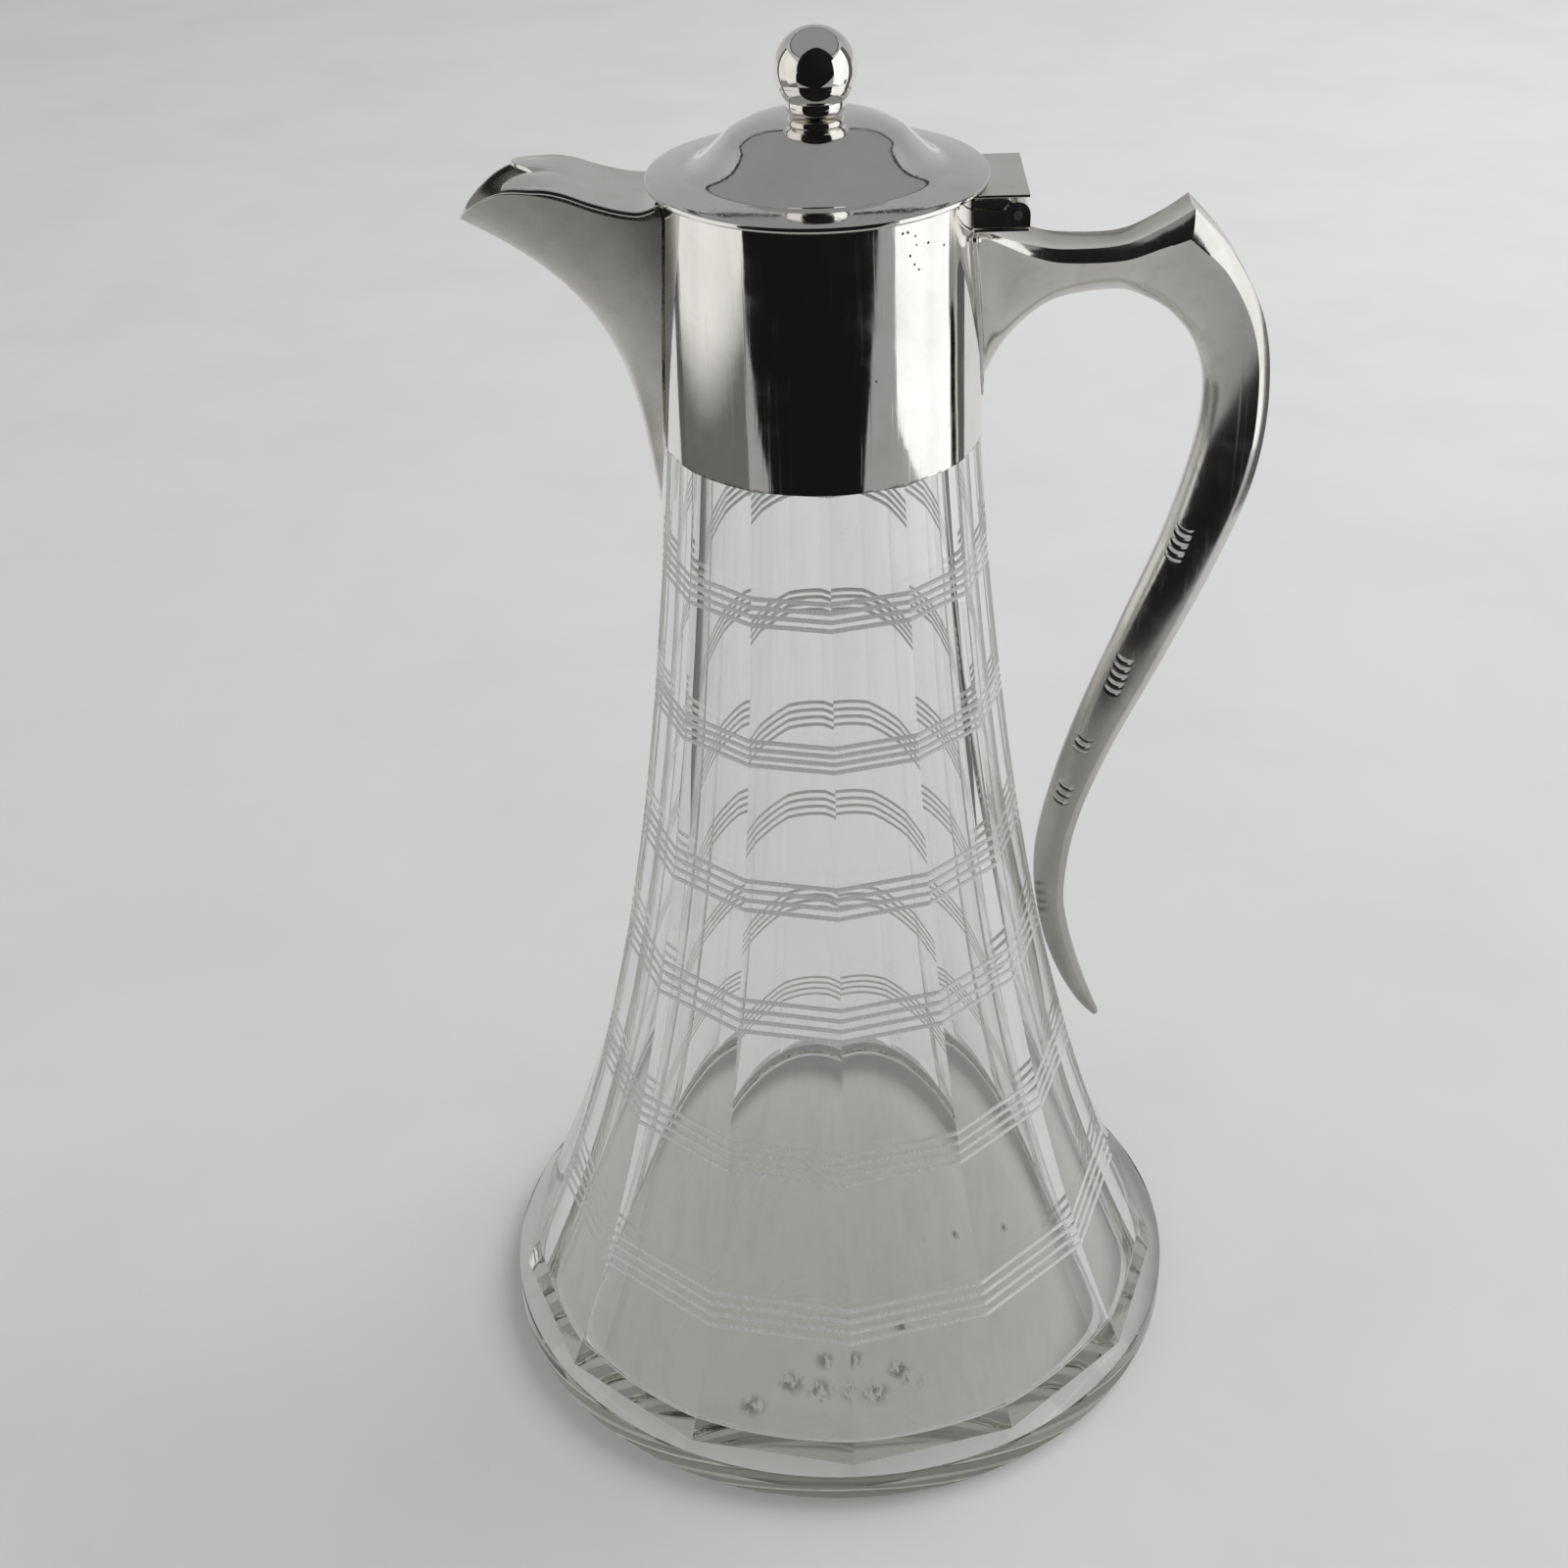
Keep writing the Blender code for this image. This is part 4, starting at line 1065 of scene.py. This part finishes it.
def make_ball():
    """Ball knob that runs down into a short stem, with a blind hole for the stud."""
    hole = 0.0015
    hole_top = BALL_CENTRE - 0.0015
    stem = BALL_RADIUS * 0.69
    outline = [(0.0, hole_top), (hole, hole_top), (hole, KNOB_SEAT), (stem, KNOB_SEAT)]
    joint = -acos(stem * 1.05 / BALL_RADIUS)
    below = Vector((BALL_RADIUS * cos(joint), BALL_CENTRE + BALL_RADIUS * sin(joint)))
    foot = Vector((stem, KNOB_SEAT))
    middle = Vector((stem * 0.99, (below.y + foot.y) / 2))
    outline += [bend(foot, middle, below, i / 8) for i in range(1, 8)]
    steps = 60
    for i in range(steps):
        angle = joint + (pi / 2 - joint) * i / steps
        outline.append((BALL_RADIUS * cos(angle), BALL_CENTRE + BALL_RADIUS * sin(angle)))
    outline.append((0.0, BALL_CENTRE + BALL_RADIUS))
    return finish(lathe(outline, 160), "silver_ball", [silver_ball])


# ---- stage

def mirrored_floor(n, where):
    """Brightness of the table in the silver: pale, and black beyond its front edge."""
    x, y, _ = n.split(where)
    pale = n.ramp(y, -0.38, 0.35, 0.32, 0.66)
    right_slant = n.times(n.most(n.minus(x, 0.08), 0.0), 0.60)
    left_slant = n.times(n.most(n.times(x, -1.0), 0.0), 0.14)
    edge = n.plus(n.plus(n.plus(y, right_slant), left_slant), 0.335)
    return n.mix(n.ramp(edge, 0.004, -0.006), pale, 0.008)


def floor_material():
    """Pale matt table with faint smudges and specks."""
    n = Nodes("pale_table")
    speck = n.ramp(n.noise(700, 2, 0.5), 0.72, 0.80)
    cloud = n.ramp(n.noise(14, 5, 0.6), 0.35, 0.75)
    colour = n.blend(n.times(cloud, 0.16), rgb(0.66, 0.662, 0.668), rgb(0.48, 0.482, 0.49))
    colour = n.blend(n.times(speck, 0.12), colour, rgb(0.30, 0.30, 0.30))
    n.set(Base_Color=colour, Roughness=0.6, Specular_IOR_Level=0.2)
    path = n.add("ShaderNodeLightPath")
    where = n.add("ShaderNodeNewGeometry").outputs["Position"]
    mirror = n.add("ShaderNodeEmission", Strength=mirrored_floor(n, where))
    reflected = n.minus(path.outputs["Is Glossy Ray"], path.outputs["Is Transmission Ray"], clamp=True)
    n.give_way(reflected, mirror)
    return n.material


def make_floor():
    """The table, a hair below the foot so that the glass keeps its own lower face."""
    bm = bmesh.new()
    half = 12.0
    air = -0.0001
    corners = [(-half, -half, air), (half, -half, air), (half, half, air), (-half, half, air)]
    bm.faces.new(verts(bm, corners))
    finish(bm, "table", [floor_material()])


def make_panel(name, x, near, far, low, high, strength, tint=(1.0, 1.0, 1.0), fade=None):
    """An upright side panel of the tent that only the silver and the glass see."""
    n = Nodes(name)
    value = n.ramp(n.noise(7, 3, 0.5), 0.3, 0.7, strength * 0.92, strength * 1.05)
    if fade:
        low_end, high_end, dark = fade
        value = n.mix(n.ramp(n.split(n.place)[2], low_end, high_end), dark, value)
    shine = n.add("ShaderNodeEmission", Color=rgb(*tint), Strength=value)
    n.feed(n.output.inputs["Surface"], shine.outputs[0])
    bm = bmesh.new()
    bm.faces.new(verts(bm, [(x, near, low), (x, far, low), (x, far, high), (x, near, high)]))
    obj = finish(bm, name, [n.material])
    obj.visible_camera = False
    obj.visible_diffuse = False
    obj.visible_shadow = False


def make_tent():
    """White side walls, their grey edges and the darker lower part of the left wall."""
    make_panel("tent_right", 0.28, -0.22, 0.06, 0.075, 0.44, 1.1)
    make_panel("tent_right_edge", 0.285, 0.06, 0.155, 0.0, 0.44, 0.10)
    make_panel("tent_left", -0.30, -0.235, 0.12, 0.0, 0.44, 0.80, (1.0, 0.985, 0.95), (0.085, 0.125, 0.14))
    make_panel("tent_left_edge", -0.302, 0.12, 0.17, 0.0, 0.44, 0.10)


def tent_brightness(n):
    """Brightness of the light tent by direction, with the round dark opening at the camera."""
    x, y, z = n.split(n.add("ShaderNodeTexCoord").outputs["Generated"])
    azimuth = n.maths("ARCTAN2", x, n.times(y, -1.0))
    elevation = n.maths("ARCSINE", z)
    turned = n.size(azimuth)
    back = n.ramp(elevation, radians(0), radians(28), 0.50, 0.36)
    value = n.mix(n.ramp(turned, radians(140), radians(120)), back, 0.42)
    roof_edge = n.ramp(turned, radians(110), radians(160), radians(38), radians(34))
    above = n.minus(elevation, roof_edge)
    value = n.mix(n.ramp(above, radians(-0.5), radians(0.5)), value, 0.27)
    value = n.mix(n.ramp(n.size(above), radians(1.3), radians(0.7)), value, 0.05)
    across = n.maths("DIVIDE", n.minus(azimuth, radians(5)), radians(56))
    up = n.maths("DIVIDE", n.minus(elevation, radians(20)), radians(50))
    reach = n.plus(n.power(n.size(across), 2.4), n.power(n.size(up), 2.4))
    return n.mix(n.ramp(reach, 1.03, 0.97), value, 0.008)


def make_world():
    """Pale surroundings for the camera, and the light tent for the silver and the glass."""
    world = bpy.data.worlds.new("tent")
    scene.world = world
    world.use_nodes = True
    n = Nodes.__new__(Nodes)           # a world has no Principled shader to start from
    n.tree = world.node_tree
    n.tree.nodes.clear()
    value = tent_brightness(n)
    path = n.add("ShaderNodeLightPath").outputs
    value = n.mix(path["Is Transmission Ray"], value, n.most(value, 0.22))
    seen = n.mix(path["Is Diffuse Ray"], 0.62, 0.55)
    strength = n.mix(path["Is Glossy Ray"], seen, value)
    shine = n.add("ShaderNodeBackground", Color=rgb(1.0, 1.0, 1.0), Strength=strength)
    n.add("ShaderNodeOutputWorld", Surface=shine.outputs[0])


def make_key_light():
    """One large lamp above and behind, which the silver and the glass do not show."""
    data = bpy.data.lights.new("key", "AREA")
    data.size = 1.2
    data.energy = 18.0
    light = bpy.data.objects.new("key", data)
    scene.collection.objects.link(light)
    light.location = (0.9, 0.7, 1.3)
    light.rotation_mode = "QUATERNION"
    light.rotation_quaternion = (Vector((0.0, 0.0, 0.05)) - light.location).to_track_quat("-Z", "Y")
    light.visible_glossy = False
    light.visible_transmission = False


def make_camera():
    """The viewpoint: in front, above, looking down by 32.4 degrees."""
    yaw, pitch, roll = radians(-1.333), radians(32.382), radians(-1.878)
    level = Vector((sin(yaw), cos(yaw), 0.0))
    right = Vector((cos(yaw), -sin(yaw), 0.0))
    above = Vector((0.0, 0.0, 1.0))
    forward = level * cos(pitch) - above * sin(pitch)
    up = level * sin(pitch) + above * cos(pitch)
    tilted_right = right * cos(roll) + up * sin(roll)
    tilted_up = up * cos(roll) - right * sin(roll)
    camera = bpy.data.objects.new("camera", bpy.data.cameras.new("camera"))
    camera.data.sensor_width = 36.0
    camera.data.lens = 53.004
    camera.data.clip_start = 0.01
    camera.data.clip_end = 30.0
    turn = Matrix((tilted_right, tilted_up, -forward)).transposed().to_4x4()
    camera.matrix_world = Matrix.Translation((0.0, -0.37657, 0.36075)) @ turn
    scene.collection.objects.link(camera)
    scene.camera = camera


# ---- materials of the pieces

silver_collar = silver("collar", 1.0, tarnish=0.22, roughness=0.05,
                       pit_places=COLLAR_PITS, grime=COLLAR_BOTTOM)
# painted shading on the spout: brighter low down, darker towards the top
silver_spout = silver("spout", 2.0, (0.80, 0.785, 0.75), tarnish=0.6, roughness=0.24,
                      painted_shading=(0.195, 0.236, 1.14, 0.74))
silver_flap = silver("flap", 3.0, (0.86, 0.855, 0.83), tarnish=0.3, roughness=0.14)
# painted shading on the handle: darker towards the bottom
silver_handle = silver("handle", 4.0, (0.84, 0.83, 0.80), tarnish=0.45, roughness=0.13,
                       cuts=True, rougher=(0.10, 0.17, 0.18, 0.0), painted_shading=(0.09, 0.165, 0.72, 0.98))
silver_lid = silver("lid", 5.0, (0.90, 0.89, 0.87), tarnish=0.2, roughness=0.04, pits=0.3,
                    waviness=0.4)
silver_ball = silver("ball", 6.0, tarnish=0.15, roughness=0.03, pits=0.0, waviness=0.3)
silver_plain = silver("plain", 7.0, (0.84, 0.83, 0.80), tarnish=0.4, roughness=0.15,
                      pits=0.2)
silver_solder = silver("solder", 8.0, (0.90, 0.89, 0.87), tarnish=0.5, roughness=0.12)
pin_steel = dull("pin_steel", (0.30, 0.29, 0.28), (0.42, 0.41, 0.39), 1.0, 0.35)
turned_brass = dull("turned_brass", (0.66, 0.50, 0.26), (0.50, 0.37, 0.18), 1.0, 0.30)
set_plaster = dull("set_plaster", (0.74, 0.71, 0.65), (0.55, 0.52, 0.46), 0.0, 0.80, 900.0)
clear_glass = polished_glass("clear_glass", (0.985, 0.99, 0.98))
foot_glass = polished_glass("foot_glass", (0.95, 0.96, 0.93))
floor_glass = smudged_glass("floor_glass")
cut_glass = ground_glass("cut_line_glass")

# ---- the pieces

place(make_glass(), "jug", "glass", "glass_body")
place(make_collar(), "jug", "silver", "collar")
place(make_spout(), "jug", "silver", "spout")
place(make_handle(), "jug", "silver", "handle")
place(make_solder(), "jug", "silver")
place(make_lid(), "lid", "silver", "lid_plate")
place(make_bezel(), "lid", "silver", "lid_bezel")
place(make_flap(), "lid", "silver", "spout_flap")
place(make_neck(), "lid", "silver", "finial_neck")
place(make_ball(), "lid", "silver", "finial_ball")


def dress(node, material, bevel=0.0):
    """Give a carried-over CAD node its material and soften its sharp edges."""
    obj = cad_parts[node]
    for slot in obj.material_slots:
        slot.material = material
    if bevel:
        weld = obj.modifiers.new("weld", "WELD")
        weld.merge_threshold = 0.000002
        soft = obj.modifiers.new("soft edges", "BEVEL")
        soft.width = bevel
        soft.segments = 2
        soft.limit_method = "ANGLE"
        soft.angle_limit = radians(35)


for plate in ("hinge_base_plate", "hinge_collar_leaf", "hinge_lid_leaf", "hinge_cover_plate"):
    dress(plate, silver_plain, 0.00010)
dress("hinge_pin", pin_steel)
dress("neck_bedding", set_plaster)
for fixing in ("finial_stud", "finial_washer", "finial_nut"):
    dress(fixing, turned_brass)

make_floor()
make_tent()
make_world()
make_key_light()
make_camera()

scene.view_settings.view_transform = "Standard"
scene.cycles.max_bounces = 64
scene.cycles.transmission_bounces = 64
scene.cycles.glossy_bounces = 64
scene.cycles.transparent_max_bounces = 24
